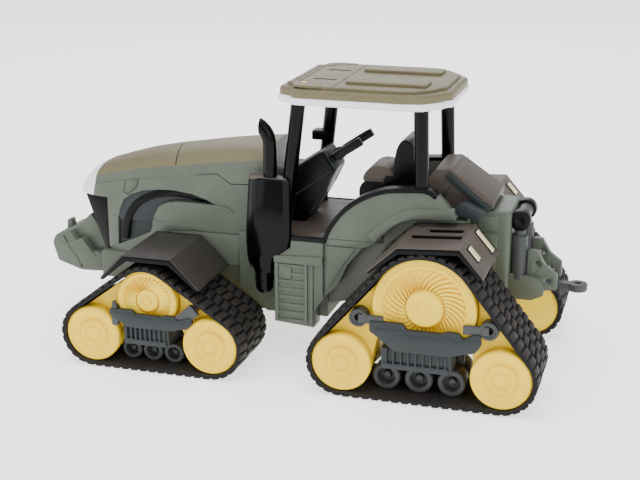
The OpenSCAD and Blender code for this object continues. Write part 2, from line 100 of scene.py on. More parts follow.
def plank(bm, start, end, width, depth, up=(0, 0, 1), **look):
    # a straight rectangular bar from start to end, its depth measured along up
    part = bmesh.new()
    start, end, up = Vector(start), Vector(end), Vector(up)
    along = (end - start).normalized()
    across = along.cross(up).normalized()
    up = across.cross(along)
    a, b = across * width / 2, up * depth / 2
    pushFace(part, [start + a + b, start + a - b, start - a - b, start - a + b], end - start)
    addPart(bm, part, **look)


def turned(bm, centre, side, outline, steps=72, **look):
    # outline as (radius, w), spun round a sideways axis through centre
    part = bmesh.new()
    verts = [part.verts.new(((centre[0] + r) * mm, side * w * mm, centre[1] * mm)) for r, w in outline]
    edges = [part.edges.new(pair) for pair in zip(verts, verts[1:])]
    bmesh.ops.spin(part, geom=verts + edges, cent=(centre[0] * mm, 0, centre[1] * mm), axis=(0, 1, 0),
                   angle=2 * pi, steps=steps, use_merge=True)
    addPart(bm, part, **look)


def skin(rings):
    # a closed skin over rings of equal count, with a face at both ends
    part = bmesh.new()
    before = None
    for ring in rings:
        verts = [part.verts.new(Vector(p) * mm) for p in ring]
        edges = [part.edges.new((v, verts[(k + 1) % len(verts)])) for k, v in enumerate(verts)]
        if before:
            bmesh.ops.bridge_loops(part, edges=before + edges)
        else:
            part.faces.new(verts)
        before = edges
    part.faces.new(verts)
    return part


def rounded(points, r, steps=4):
    # the outline with every corner eased off by r
    made = []
    for k, here in enumerate(points):
        here = Vector(here)
        ends = []
        for other in (points[k - 1], points[(k + 1) % len(points)]):
            way = Vector(other) - here
            ends.append(here + way.normalized() * min(r, way.length * 0.49))
        for i in range(steps + 1):
            t = i / steps
            made.append(tuple(ends[0] * (1 - t) ** 2 + here * 2 * t * (1 - t) + ends[1] * t * t))
    return made


def smoothLine(points, steps=5):
    # a curve through all the points
    made = []
    last = len(points) - 1
    for k in range(last):
        p0, p1, p2, p3 = (Vector(points[min(max(k + d, 0), last)]) for d in (-1, 0, 1, 2))
        for i in range(steps):
            t = i / steps
            made.append(tuple((2 * p1 + (p2 - p0) * t + (2 * p0 - 5 * p1 + 4 * p2 - p3) * t * t
                               + (3 * p1 - p0 - 3 * p2 + p3) * t ** 3) / 2))
    return made + [tuple(points[last])]


def shifted(line, gap):
    # the line moved sideways by gap, to the right of its run
    made = []
    for k, here in enumerate(line):
        way = Vector(line[min(k + 1, len(line) - 1)]) - Vector(line[max(k - 1, 0)])
        way.normalize()
        made.append((here[0] + way[1] * gap, here[1] - way[0] * gap))
    return made


def strip(line, near, far):
    return shifted(line, near) + shifted(line, far)[::-1]


def asObject(bm, name):
    mesh = bpy.data.meshes.new(name)
    bm.to_mesh(mesh)
    bm.free()
    made = bpy.data.objects.new(name, mesh)
    bpy.context.scene.collection.objects.link(made)
    return made


def carve(bm, cutterBm):
    # what is left of bm once the cutters are taken away
    target, cutter = asObject(bm, "target"), asObject(cutterBm, "cutter")
    cut = target.modifiers.new("cut", "BOOLEAN")
    cut.operation = "DIFFERENCE"
    cut.solver = "EXACT"
    cut.use_self = True
    cut.object = cutter
    bpy.context.view_layer.update()
    left = bmesh.new()
    left.from_object(target, bpy.context.evaluated_depsgraph_get())
    for spare in (target, cutter):
        mesh = spare.data
        bpy.data.objects.remove(spare)
        bpy.data.meshes.remove(mesh)
    return left


def piece(name, body, bm, materials, standsFor=(), crease=34):
    for edge in bm.edges:
        edge.smooth = edge.calc_face_angle(0) < radians(crease)
    for face in bm.faces:
        face.smooth = True
    made = asObject(bm, name)
    for material in materials:
        made.data.materials.append(material)
    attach(made, body)
    if standsFor:
        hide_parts(*standsFor)
    return made


# ---- materials

def linear(hexColour):
    values = [int(hexColour[k:k + 2], 16) / 255 for k in (1, 3, 5)]
    return [v / 12.92 if v <= 0.04045 else ((v + 0.055) / 1.055) ** 2.4 for v in values] + [1]


def addNode(tree, kind, settings={}, **inputs):
    made = tree.nodes.new(kind)
    for key, value in settings.items():
        setattr(made, key, value)
    for key, value in inputs.items():
        socket = made.inputs[int(key[1:]) if key[0] == "i" and key[1:].isdigit() else key.replace("_", " ")]
        if isinstance(value, bpy.types.NodeSocket):
            tree.links.new(value, socket)
        else:
            socket.default_value = value
    return made


def mouldedSurface(name, colour, roughness, patch=0.05, patchSize=22, grain=0.03, grainSize=0.5, edge=0.12,
                   coat=0.0, specks=0.0, shine=0.5):
    # patchSize and grainSize are real sizes in mm, grain is the height of the grain in mm
    material = bpy.data.materials.new(name)
    material.use_nodes = True
    tree = material.node_tree
    shader = tree.nodes["Principled BSDF"]
    place = addNode(tree, "ShaderNodeTexCoord").outputs["Object"]
    patches = addNode(tree, "ShaderNodeTexNoise", Vector=place, Scale=1 / (patchSize * mm), Detail=4.0,
                      Roughness=0.6)
    base = linear(colour)
    dark = [c * (1 - patch * 2) for c in base[:3]] + [1]
    light = [min(c * (1 + patch * 2), 1) for c in base[:3]] + [1]
    spread = addNode(tree, "ShaderNodeMapRange", Value=patches.outputs["Fac"], From_Min=0.3, From_Max=0.7)
    tint = addNode(tree, "ShaderNodeMix", {"data_type": "RGBA"}, Factor=spread.outputs["Result"], i6=dark,
                   i7=light)
    worn = addNode(tree, "ShaderNodeMapRange", From_Min=0.52, From_Max=0.6, To_Max=edge,
                   Value=addNode(tree, "ShaderNodeNewGeometry").outputs["Pointiness"])
    pale = [min(c * 1.5 + 0.04, 1) for c in base[:3]] + [1]
    rubbed = addNode(tree, "ShaderNodeMix", {"data_type": "RGBA"}, Factor=worn.outputs["Result"],
                     i6=tint.outputs[2], i7=pale)
    finish = rubbed
    if specks:
        dust = addNode(tree, "ShaderNodeTexNoise", Vector=place, Scale=1 / (1.6 * mm), Detail=6.0,
                       Roughness=0.7)
        spots = addNode(tree, "ShaderNodeMapRange", Value=dust.outputs["Fac"], From_Min=0.56, From_Max=0.68,
                        To_Max=specks)
        finish = addNode(tree, "ShaderNodeMix", {"data_type": "RGBA"}, Factor=spots.outputs["Result"],
                         i6=rubbed.outputs[2], i7=linear("#6f685f"))
    tree.links.new(finish.outputs[2], shader.inputs["Base Color"])
    smears = addNode(tree, "ShaderNodeTexNoise", Vector=place, Scale=1 / (6 * mm), Detail=5.0,
                     Roughness=0.65)
    sheen = addNode(tree, "ShaderNodeMapRange", Value=smears.outputs["Fac"], From_Min=0.3, From_Max=0.7,
                    To_Min=roughness - 0.06, To_Max=roughness + 0.08)
    tree.links.new(sheen.outputs["Result"], shader.inputs["Roughness"])
    fine = addNode(tree, "ShaderNodeTexNoise", Vector=place, Scale=1 / (grainSize * mm), Detail=3.0)
    bump = addNode(tree, "ShaderNodeBump", Strength=0.6, Distance=grain * mm, Height=fine.outputs["Fac"])
    tree.links.new(bump.outputs["Normal"], shader.inputs["Normal"])
    shader.inputs["Specular IOR Level"].default_value = shine
    shader.inputs["Coat Weight"].default_value = coat
    shader.inputs["Coat Roughness"].default_value = 0.12
    return material


# sprayed ABS shell of the body: satin, with broad soft highlights
greenPlastic = mouldedSurface("greenPaintedPlastic", "#50574b", 0.42, shine=0.35)
# roof and hood top, moulded in a warmer tone and a little duller than the sprayed green
olivePlastic = mouldedSurface("oliveMouldedPlastic", "#665e43", 0.5, patch=0.04, shine=0.35)
# rear fenders, floor and rear box: bare moulded ABS with a fine grain that takes the shine off
taupePlastic = mouldedSurface("taupeMouldedPlastic", "#473e37", 0.5, patch=0.04, shine=0.35)
# front fenders, the same plastic in a darker tone
darkTaupe = mouldedSurface("darkTaupePlastic", "#2c2825", 0.5, patch=0.04, shine=0.35)
# polished mould for the exhaust, pillars and rims: deep black with a narrow highlight
blackPlastic = mouldedSurface("blackGlossPlastic", "#020203", 0.2, grain=0.004, edge=0.01, shine=0.13)
# console, seat shell and edge trims: black with a wider, softer highlight
matteBlack = mouldedSurface("blackSatinPlastic", "#050507", 0.36, grain=0.012, edge=0.02, shine=0.15)
# bogie beams, intake and small trims: dull blue-grey
slatePlastic = mouldedSurface("slateMouldedPlastic", "#23292b", 0.48, shine=0.3)
# rollers, bosses, rams and drawbar: a lighter neutral grey
greyPlastic = mouldedSurface("greyMouldedPlastic", "#393b3c", 0.45, shine=0.3)
# roof trim and nose: clean white spray without wear
whitePaint = mouldedSurface("whitePaintedPlastic", "#eeecf6", 0.4, patch=0.01, edge=0.0)
# wheels and their carriers: bare pale yellow polypropylene, waxy and even
yellowPlastic = mouldedSurface("paleYellowPlastic", "#f2cb2c", 0.5, patch=0.025, edge=0.08, shine=0.25)
# belt edges: clean moulded rubber with a dull sheen
beltRubber = mouldedSurface("blackBeltRubber", "#07070a", 0.62, patch=0.08, grain=0.06, grainSize=0.8,
                            edge=0.08, shine=0.2)
# inside of the belt: the same rubber, browner and dusted
innerRubber = mouldedSurface("brownDustedRubber", "#1c1714", 0.8, patch=0.12, grain=0.08, edge=0.05,
                             specks=0.35)
# tread lugs: rubbed grey on their edges, with a little dust in the grain
lugRubber = mouldedSurface("greyLugRubber", "#25211e", 0.7, patch=0.1, patchSize=9, grain=0.08,
                           grainSize=0.7, edge=0.25, specks=0.12, shine=0.25)
# painted shade: a dull black floor under the fender slots, so they read as dark openings
slotShadePlastic = mouldedSurface("slotPaintedShadePlastic", "#040404", 0.88, edge=0.0, shine=0.04)
# seat pad: a vinyl look with a coarser grain than the plastic round it
seatPad = mouldedSurface("taupeSeatPlastic", "#50463c", 0.55, grain=0.05, grainSize=0.9)
# lamp lenses: clear-coated cream plastic
lampLens = mouldedSurface("paleLampPlastic", "#e6dcab", 0.25, patch=0.02, grain=0.0, edge=0.0, coat=0.4)
print("materials ready")


# ---- track units

# axle place, wheel radii and how far the idlers and rollers stand from the axle
units = {"rear": {"x": -102, "z": 65, "drive": 33.5, "idler": 19.8, "ahead": 53.5, "behind": 50.5,
                  "roller": 9.2, "pitch": 21.5, "middle": 4},
         "front": {"x": 87.3, "z": 50.5, "drive": 21.5, "idler": 19.5, "ahead": 40.4, "behind": 45.3,
                   "roller": 7.2, "pitch": 15.5, "middle": 0.8}}
beltSizes = {"inner": 42, "outer": 95, "gap": 0.3, "thick": 2.1, "lugHeight": 1.3, "lugPitch": 6.6,
             "lugLong": 4.9, "columns": ((43.2, 54.6, 0), (56.2, 67.6, 0.5), (69.2, 80.6, 0),
                                         (82.2, 94.9, 0.5))}
land = 3.9  # height of the wheels' lowest points above the ground


def wheelPlaces(u):
    low = u["idler"] + land - u["z"]
    return {"front_idler": (u["ahead"], low), "rear_idler": (-u["behind"], low)}


def rollerPlace(u, number):
    return u["middle"] + (2 - number) * u["pitch"], u["roller"] + land - u["z"]


def loopLine(u, grow, spacing=None):
    # places round the three wheels as (x, z, normal x, normal z), from the unit's own axle
    at = wheelPlaces(u)
    rounds = [(*at["front_idler"], u["idler"]), (0, 0, u["drive"]), (*at["rear_idler"], u["idler"])]
    leave = []
    for k, (x, z, r) in enumerate(rounds):
        nx, nz, nr = rounds[(k + 1) % 3]
        away = hypot(nx - x, nz - z)
        leave.append(atan2(nz - z, nx - x) - acos((r - nr) / away))
    line = []
    for k, (x, z, r) in enumerate(rounds):
        start, end = leave[k - 1], leave[k]
        while end < start:
            end += 2 * pi
        count = max(4, round((end - start) * (r + grow) / 2))
        for i in range(count + 1):
            a = start + (end - start) * i / count
            line.append((x + (r + grow) * cos(a), z + (r + grow) * sin(a), cos(a), sin(a)))
    if spacing is None:
        return line
    runs = [hypot(b[0] - a[0], b[1] - a[1]) for a, b in zip(line, line[1:] + line[:1])]
    count = round(sum(runs) / spacing)
    even, travelled, k = [], 0, 0
    for i in range(count):
        goal = sum(runs) * i / count
        while travelled + runs[k] < goal:
            travelled += runs[k]
            k += 1
        t = (goal - travelled) / runs[k]
        a, b = line[k], line[(k + 1) % len(line)]
        even.append(tuple(p + (q - p) * t for p, q in zip(a, b)))
    return even


def lugMesh(long, wide, tall):
    part = bmesh.new()
    bmesh.ops.create_cube(part, size=1)
    bmesh.ops.scale(part, vec=(long * mm, wide * mm, tall * mm), verts=part.verts)
    bmesh.ops.bevel(part, geom=part.edges[:], offset=0.75 * mm, offset_type="OFFSET", affect="EDGES",
                    segments=2, profile=0.5, material=-1, clamp_overlap=True)
    mesh = bpy.data.meshes.new("lug")
    part.to_mesh(mesh)
    part.free()
    return mesh


def placeCopy(bm, mesh, matrix, material=0):
    start = len(bm.verts)
    firstFace = len(bm.faces)
    bm.from_mesh(mesh)
    bm.verts.ensure_lookup_table()
    bm.faces.ensure_lookup_table()
    bmesh.ops.transform(bm, matrix=matrix, verts=bm.verts[start:])
    for face in bm.faces[firstFace:]:
        face.material_index = material


def buildBelt(u, side, name):
    s = beltSizes
    band = bmesh.new()
    line = [(x + u["x"], z + u["z"]) for x, z, nx, nz in loopLine(u, s["gap"] + s["thick"])]
    pushFace(band, [(x, side * s["inner"], z) for x, z in line], (0, side * (s["outer"] - s["inner"]), 0))
    bmesh.ops.remove_doubles(band, verts=band.verts, dist=0.002 * mm)
    bmesh.ops.recalc_face_normals(band, faces=band.faces)
    ends = [f for f in band.faces if len(f.verts) > 4]
    bmesh.ops.delete(band, geom=ends, context="FACES")
    bmesh.ops.solidify(band, geom=band.faces[:], thickness=s["thick"] * mm)
    bmesh.ops.recalc_face_normals(band, faces=band.faces)
    for face in band.faces:
        centre, normal = face.calc_center_median(), face.normal
        inward = Vector((u["x"] * mm, centre.y, (u["z"] - u["drive"] * 0.5) * mm)) - centre
        if abs(normal.y) < 0.5 and normal.dot(inward) > 0:
            face.material_index = 1
    for first, last, offset in s["columns"]:
        wide = last - first
        mesh = lugMesh(s["lugLong"], wide, s["lugHeight"] + 0.6)
        line = loopLine(u, s["gap"] + s["thick"] + s["lugHeight"] / 2 - 0.3, s["lugPitch"])
        for k, (x, z, nx, nz) in enumerate(line):
            bx, bz, bnx, bnz = line[(k + 1) % len(line)]
            x, z = x + (bx - x) * offset, z + (bz - z) * offset
            normal = Vector((nx + (bnx - nx) * offset, 0, nz + (bnz - nz) * offset)).normalized()
            along = Vector((-normal.z, 0, normal.x))
            turn = Matrix((along, (0, 1, 0), normal)).transposed().to_4x4()
            skew = Matrix.Rotation(radians(7 * side * (1 if offset else -1)), 4, "Z")
            middle = Vector((x + u["x"], side * (first + last) / 2, z + u["z"])) * mm
            placeCopy(band, mesh, Matrix.Translation(middle) @ turn @ skew, 2)
        bpy.data.meshes.remove(mesh)
    piece(name + "_track", name + "_unit", band, [beltRubber, innerRubber, lugRubber], [name + "_belt"])


driveSizes = {"inner": 43.5, "flange": 7, "sleeve": 9, "bore": 5.1, "rimWide": 9, "face": 91.5,
              "hubShare": 0.36, "dishShare": 0.79, "dishDepth": 0.15}
finSizes = {"count": 36, "thick": 1.9, "twist": 26, "tall": 1.5}


def buildDriveWheel(u, side, name):
    s = driveSizes
    r, face, inner, sleeve = u["drive"], s["face"], s["inner"], s["sleeve"]
    centre = (u["x"], u["z"])
    hub, dish, floor = r * s["hubShare"], r * s["dishShare"], face - r * s["dishDepth"]
    flange, rim = inner + s["flange"], face - s["rimWide"]
    back = [(s["bore"], inner), (r, inner), (r, flange), (sleeve + 4, flange), (sleeve, flange + 4),
            (sleeve, 75), (r - 2, rim), (r, rim)]
    front = [(r, face - 0.8), (r - 0.8, face), (dish + 1, face), (dish, face - 1), (dish - 0.5, face - 3),
             (hub + 1.2, floor - 0.6), (hub + 0.2, floor - 0.3), (hub, face - 1.2), (hub - 0.8, face - 0.5)]
    cap = [(r * 0.17, face - 0.5), (r * 0.155, face - 1.2), (r * 0.13, face - 1.2), (r * 0.115, face - 0.4),
           (r * 0.06, face - 0.2), (0, face - 0.2)]
    socket = [(0, 82), (s["bore"], 82), (s["bore"], inner)]
    bm = bmesh.new()
    turned(bm, centre, side, back + front + cap + socket, rounding=0.25)
    turned(bm, centre, side, [(dish + 1.6, face - 0.4), (dish + 2.8, face - 0.4), (dish + 2.6, face + 0.35),
                              (dish + 1.8, face + 0.35), (dish + 1.6, face - 0.4)])
    fin = finSizes
    for k in range(fin["count"]):
        part = bmesh.new()
        made = bmesh.ops.create_grid(part, x_segments=5, y_segments=1, size=0.5)["verts"]
        for v in made:
            t, up = v.co.x + 0.5, v.co.y + 0.5
            reach = hub + 1 + (dish - hub - 1.2) * t
            depth = floor - 1 + (face - 2.6 - floor) * t + (fin["tall"] + 1) * up * (1 - 0.3 * t)
            a = 2 * pi * k / fin["count"] + side * radians(fin["twist"]) * t
            v.co = Vector((centre[0] + reach * cos(a), side * min(depth, face - 0.7),
                           centre[1] + reach * sin(a))) * mm
        bmesh.ops.solidify(part, geom=part.faces[:], thickness=fin["thick"] * mm)
        addPart(bm, part)
    piece(name + "_driveWheelLook", name + "_drive", bm, [yellowPlastic], [name + "_drive_wheel"])


idlerSizes = {"inner": 43.5, "flange": 8, "neck": 7, "pin": 3, "rimBack": 86.5, "face": 93.5, "bolts": 6}


def buildIdler(u, side, name, which):
    s = idlerSizes
    r, face, inner, flange = u["idler"], s["face"], s["inner"], s["inner"] + s["flange"]
    at = wheelPlaces(u)[which]
    centre = (u["x"] + at[0], u["z"] + at[1])
    bm = bmesh.new()
    back = [(0, inner), (r, inner), (r, flange), (s["neck"], flange), (s["pin"], 65),
            (s["pin"], s["rimBack"]), (r, s["rimBack"]), (r, face - 1.2), (r - 1, face)]
    dish = [(r * 0.87, face), (r * 0.84, face - 0.7), (r * 0.78, face - 1), (r * 0.56, face - 3),
            (r * 0.5, face - 3), (r * 0.48, face - 0.9), (r * 0.45, face - 0.5)]
    hub = [(r * 0.36, face - 0.5), (r * 0.34, face - 0.9), (r * 0.31, face - 2), (r * 0.22, face - 2),
           (r * 0.2, face - 1.2), (r * 0.08, face - 1), (0, face - 1)]
    turned(bm, centre, side, back + dish + hub, rounding=0.22)
    for k in range(s["bolts"]):
        a = 2 * pi * k / s["bolts"] + 0.3
        x, z = centre[0] + r * 0.405 * cos(a), centre[1] + r * 0.405 * sin(a)
        bar(bm, (x, side * (face - 1), z), (x, side * (face - 0.1), z), 0.75, 0.6, sideCount=6)
    piece(name + "_" + which + "Look", name + "_" + which, bm, [yellowPlastic], [name + "_" + which])


rollerSizes = {"inner": 50.4, "groove": (63, 70), "pin": 2, "outer": 83, "cup": 77, "cap": 80.4}


def buildRoller(u, side, name, number):
    s = rollerSizes
    r, outer, (grooveIn, grooveOut) = u["roller"], s["outer"], s["groove"]
    at = rollerPlace(u, number)
    bm = bmesh.new()
    outline = [(0, s["inner"]), (r, s["inner"]), (r, grooveIn), (s["pin"], grooveIn), (s["pin"], grooveOut),
               (r, grooveOut), (r, outer - 0.8), (r - 0.8, outer), (r * 0.66, outer), (r * 0.6, outer - 1),
               (r * 0.56, s["cup"]), (r * 0.3, s["cup"]), (r * 0.26, s["cap"] - 0.4), (r * 0.1, s["cap"]),
               (0, s["cap"])]
    turned(bm, (u["x"] + at[0], u["z"] + at[1]), side, outline, steps=48, rounding=0.2)
    label = name + "_roller_" + str(number)
    piece(label + "Look", label, bm, [greyPlastic], [label])


def beamOutline(u):
    r, a, b = u["drive"], u["ahead"] * 0.64, u["behind"] * 0.74
    top, low = -r * 0.29, -r * 0.86
    step = (top - low) * 0.2
    middle = (top + low) / 2
    return [(a, top), (a * 0.36, top), (a * 0.3, top - step), (-b * 0.36, top - step),
            (-b * 0.4, top - step * 0.6), (-b * 0.62, top - step * 0.6), (-b * 0.7, top - step * 1.6),
            (-b * 0.9, top - step * 0.5), (-b, top - step * 0.6), (-b, middle),
            (-b * 0.9, low + step * 1.2), (-b * 0.42, low), (a * 0.52, low), (a * 0.88, middle),
            (a, middle + step * 0.6)]


def buildBogie(u, side, name, hasBosses):
    r = u["drive"]
    low, foot = -r * 0.86, rollerPlace(u, 2)[1]
    mid, half = u["x"] + u["middle"], u["pitch"] * 1.24
    shelf = 2 * u["roller"] + land - u["z"] + 1.2

    def here(points):
        return [(x + u["x"], z + u["z"]) for x, z in points]

    bm = bmesh.new()
    slab(bm, here(rounded(beamOutline(u), 1.4)), side * 92, side * 95.2, rounding=0.5)
    inner = [(x * 0.86 + (0.06 * u["pitch"]), low + (z - low) * 0.72 + 1.2) for x, z in beamOutline(u)]
    slab(bm, here(rounded(inner, 1.2)), side * 94.8, side * 95.5, rounding=0.3)
    # plates behind and under the beam, with a row of short ribs
    block(bm, (mid - half * 0.86, side * 69, u["z"] + shelf + 0.6),
          (mid + half * 0.86, side * 92.5, u["z"] + low + 1), rounding=0.6)
    block(bm, (mid - half * 0.8, side * 90, u["z"] + shelf),
          (mid + half * 0.8, side * 94.4, u["z"] + shelf + 4), rounding=0.7)
    for k in range(9):
        x = mid + half * (k / 4 - 1) * 0.72
        block(bm, (x - 0.6, side * 92, u["z"] + shelf + 3.5),
              (x + 0.6, side * 94.2, u["z"] + low + 1.5), rounding=0.25)
    block(bm, (mid - half, side * 63.6, u["z"] + foot - 3),
          (mid + half, side * 69.4, u["z"] + shelf + 4), rounding=0.6)
    if hasBosses:
        boss = r * 0.18
        for end in (-1, 1):
            x, z = u["x"] + end * r * 1.25, u["z"] - r * 0.27
            turned(bm, (x, z), side, [(boss * 0.43, 86), (boss, 86), (boss, 94), (boss - 0.7, 94.6),
                                      (boss * 0.75, 94.6), (boss * 0.68, 93.6), (boss * 0.43, 93.2),
                                      (boss * 0.4, 88), (0, 88), (0, 86), (boss * 0.43, 86)], steps=40,
                   material=1, rounding=0.2)
            plank(bm, (x, side * 93, z - 0.2), (u["x"] + end * r * 0.76, side * 93, z - 0.6), 2.4, boss,
                  material=1, rounding=0.6)
    else:
        slab(bm, here(rounded([(-r * 0.5, low), (-r * 0.98, -r * 0.84), (-r * 1.79, -r * 0.23),
                               (-r * 1.5, r * 0.09)], 1)), side * 92, side * 94.5, material=1, rounding=0.5)
        slab(bm, here(rounded([(r * 0.94, low), (r * 1.16, low), (r * 1.16, -r * 0.45),
                               (r * 1.12, -r * 0.05), (r * 1.02, -r * 0.05), (r * 0.94, -r * 0.4)], 1)),
             side * 92, side * 94.5, material=1, rounding=0.5)
        for x, z, thick in ((-r * 1.53, -3, 3), (r * 1.1, -8, 2.2)):
            x, z = x + u["x"], z + u["z"]
            bar(bm, (x, side * 85.5, z), (x, side * 92.5, z), thick, material=1)
    piece(name + "_bogieLook", name + "_unit", bm, [slatePlastic, greyPlastic], [name + "_bogie_frame"])


carrierSizes = {"inner": 53.4, "outer": 86, "web": 62, "neckBore": 7.6, "pinBore": 3.4, "axleBore": 10.6}


def legOutline(u, at):
    # round under the idler and up along the belt to the axle
    flip = 1 if at[0] > 0 else -1
    x, z = abs(at[0]), at[1]
    r, top = u["idler"] * 0.94, u["drive"] * 0.95
    lean = atan2(z, x) + acos((top - r) / hypot(x, z))
    turns = [-pi + (lean + pi) * k / 30 for k in range(31)]
    line = [(x + r * cos(a), z + r * sin(a)) for a in turns]
    line += [(top * cos(lean), top * sin(lean)), (0, top * 0.8), (0, -top * 0.3), (top * 0.85, -top * 0.2),
             (top * 0.95, z * 0.5)]
    return [(px * flip + u["x"], pz + u["z"]) for px, pz in line]


def buildCarrier(u, side, name):
    s = carrierSizes
    whole = bmesh.new()
    for x, z in wheelPlaces(u).values():
        legs = bmesh.new()
        slab(legs, legOutline(u, (x, z)), side * s["inner"], side * s["outer"])
        bores = bmesh.new()
        px, pz = u["x"] + x, u["z"] + z
        bar(bores, (px, side * (s["inner"] - 2), pz), (px, side * 65.4, pz), s["neckBore"], sideCount=40)
        bar(bores, (px, side * 65, pz), (px, side * (s["outer"] + 2), pz), s["pinBore"], sideCount=40)
        bar(bores, (u["x"], side * s["web"], u["z"]), (u["x"], side * (s["outer"] + 2), u["z"]),
            u["drive"] + 0.7, sideCount=96)
        bar(bores, (u["x"], side * (s["inner"] - 2), u["z"]), (u["x"], side * (s["web"] + 1), u["z"]),
            s["axleBore"], sideCount=48)
        addPart(whole, carve(legs, bores), rounding=0.5)
    piece(name + "_carrierLook", name + "_unit", whole, [yellowPlastic], [name + "_carrier"])


for end, u in units.items():
    for sideName, side in sides.items():
        name = end + "_" + sideName
        buildCarrier(u, side, name)
        buildBelt(u, side, name)
        buildDriveWheel(u, side, name)
        for which in ("front_idler", "rear_idler"):
            buildIdler(u, side, name, which)
        for number in (1, 2, 3):
            buildRoller(u, side, name, number)
        buildBogie(u, side, name, end == "rear")
print("track units built")


# ---- fenders over the tracks

# corners of the sheet from the axle, front to back
fenders = {"rear": {"line": [(37, 23), (17.5, 40.6), (-22, 43), (-37.2, 25.7)], "sheet": 2.2, "inner": 38,
                    "outer": 95}, "front": {"line": [(31.6, 15), (14.6, 32.6), (-19.8, 32.6), (-39, 13.6)],
                                            "sheet": 2.2, "inner": 38, "outer": 95}}
# painted shade: the dull black sheet under the slots stands in for the shade inside them
slotShadeSheet = {"depth": 0.9, "thick": 1, "from": 45, "to": 86}  # the dull plate under the slots
rearSlots = [(52, 60.5, -17.5, 6), (66, 74.5, -19, 14.5), (45.5, 49.5, 9, 15)]  # y from, y to, x from, x to
# y, from and to as shares of the way down the front plate, width
holeInlays = [(63, 0.2, 0.42, 7), (53, 0.36, 0.5, 4.5), (46.5, 0.66, 0.76, 3.5)]
rearLamps = [(44, 51.5, 0.1, 0.9), (76.5, 84.5, 0.16, 0.66)]  # y from, y to, and how far down the plate


def onPlate(start, end):
    # the way along a sloping plate, and the way out of it
    way = Vector((end[0] - start[0], 0, end[1] - start[1]))
    out = Vector((-way.z, 0, way.x)).normalized()
    return way, (out if out.z > 0 else -out)


def addRearTrim(bm, line, side):
    a, b, c, d = line
    # painted shade: a black sheet just under the slots, so they look like dark openings
    top = slotShadeSheet["depth"]
    bed = strip([(b[0] - 1, b[1]), (c[0] + 1, c[1])], -top, -top - slotShadeSheet["thick"])
    slab(bm, bed, side * slotShadeSheet["from"], side * slotShadeSheet["to"], material=3)
    way, out = onPlate(a, b)
    for y, t1, t2, wide in holeInlays:
        start = Vector((a[0], side * y, a[1])) + way * t1 + out * 0.02
        plank(bm, start, start + way * (t2 - t1), wide, 0.5, up=out, material=1)
    way, out = onPlate(c, d)
    for y1, y2, t1, t2 in rearLamps:
        start = Vector((c[0], side * (y1 + y2) / 2, c[1])) + way * t1 + out * 0.1
        plank(bm, start, start + way * (t2 - t1), y2 - y1 + 1, 1.1, up=out, material=1, rounding=0.3)
        start = start + way * 0.03 + out * 0.35
        plank(bm, start, start + way * (t2 - t1 - 0.06), y2 - y1 - 0.4, 1.2, up=out, material=2,
              rounding=0.4)


def buildFender(end, u, side, name):
    f = fenders[end]
    line = [(x + u["x"], z + u["z"]) for x, z in f["line"]]
    a, b, c, d = line
    below = [(x, z - f["sheet"] * (0.75 if k in (0, 3) else 1.1)) for k, (x, z) in enumerate(line)]
    bm = bmesh.new()
    slab(bm, line + below[::-1], side * f["inner"], side * f["outer"])
    if end == "rear":
        cutters = bmesh.new()
        for y1, y2, x1, x2 in rearSlots:
            slot = [(u["x"] + x1, side * y1), (u["x"] + x2, side * y1), (u["x"] + x2 - 2.5, side * y2),
                    (u["x"] + x1, side * y2)]
            deck(cutters, rounded(slot, 1.2), u["z"] + 30, u["z"] + 50)
        bm = carve(bm, cutters)
        bmesh.ops.remove_doubles(bm, verts=bm.verts, dist=0.002 * mm)
    creases = [e for e in bm.edges if e.calc_face_angle(0) > radians(20)]
    bmesh.ops.bevel(bm, geom=creases, offset=0.4 * mm, offset_type="OFFSET", affect="EDGES", segments=2,
                    profile=0.5, material=-1, clamp_overlap=True)
    rimTop, rimLow, rimTips = shifted(line, -0.8), shifted(line, -4.6), shifted(line, -2.4)
    # thinner at its tips, where the belt swings up
    rim = rimTop + [rimTips[3], rimLow[2], rimLow[1], rimTips[0]]
    slab(bm, rim, side * 90, side * 95.3, material=1, rounding=0.5)
    skirt = [a, b, c, d, (d[0] + 4, d[1] - 6), (a[0] - 6, a[1] - 6)]
    if end == "front":
        skirt = [b, c, (u["x"] - 12, u["z"] + 6), (u["x"] + 12, u["z"] + 6)]
    slab(bm, rounded(skirt, 1), side * 38, side * 40, material=1, rounding=0.4)
    if end == "rear":
        addRearTrim(bm, line, side)
    else:
        way = Vector((a[0] - b[0], 0, a[1] - b[1]))
        ridge = Vector((b[0], side * 93.6, b[1]))
        plank(bm, ridge + way * 0.04, ridge + way * 0.96, 2, 0.7, up=(0.7, 0, 0.7), rounding=0.2)
    # the rear fenders' fourth material is the painted shade under their slots
    rearFinish, frontFinish = [taupePlastic, blackPlastic, lampLens, slotShadePlastic], [darkTaupe,
                                                                                      blackPlastic]
    finish = rearFinish if end == "rear" else frontFinish
    piece(name + "_fenderLook", "root", bm, finish, [name + "_fender"])


for end, u in units.items():
    for sideName, side in sides.items():
        buildFender(end, u, side, end + "_" + sideName)
print("fenders built")


# ---- hood, nose and grille

# x, half width, sill, crease, crown
hoodRings = [(22, 36, 88, 136, 147), (42, 35.2, 88, 133.6, 145.2), (63, 34.2, 88, 130.6, 142.6),
             (84, 33, 88, 127, 139.4), (104, 31.4, 88, 124.2, 136.2), (122, 29.5, 88, 121, 132.6),
             (138, 27.2, 88, 117.6, 128), (152, 25, 88, 114, 123.6), (158, 23.2, 92, 111, 120.8),
             (163.5, 21.4, 98, 108, 116.6), (167.6, 19.4, 100.5, 105.6, 111.2)]
# outline of one side of a ring, then of the crown: share of the half width, share of the way up
hoodSide = [(1, 0), (1, 0.25), (1.0, 0.5), (0.995, 0.72), (0.985, 0.86), (0.962, 0.885), (0.958, 0.91)]
hoodTop = [(0.975, 0), (0.95, 0.26), (0.9, 0.47), (0.82, 0.62), (0.73, 0.7), (0.69, 0.77), (0.52, 0.9),
           (0.3, 0.975), (0, 1)]
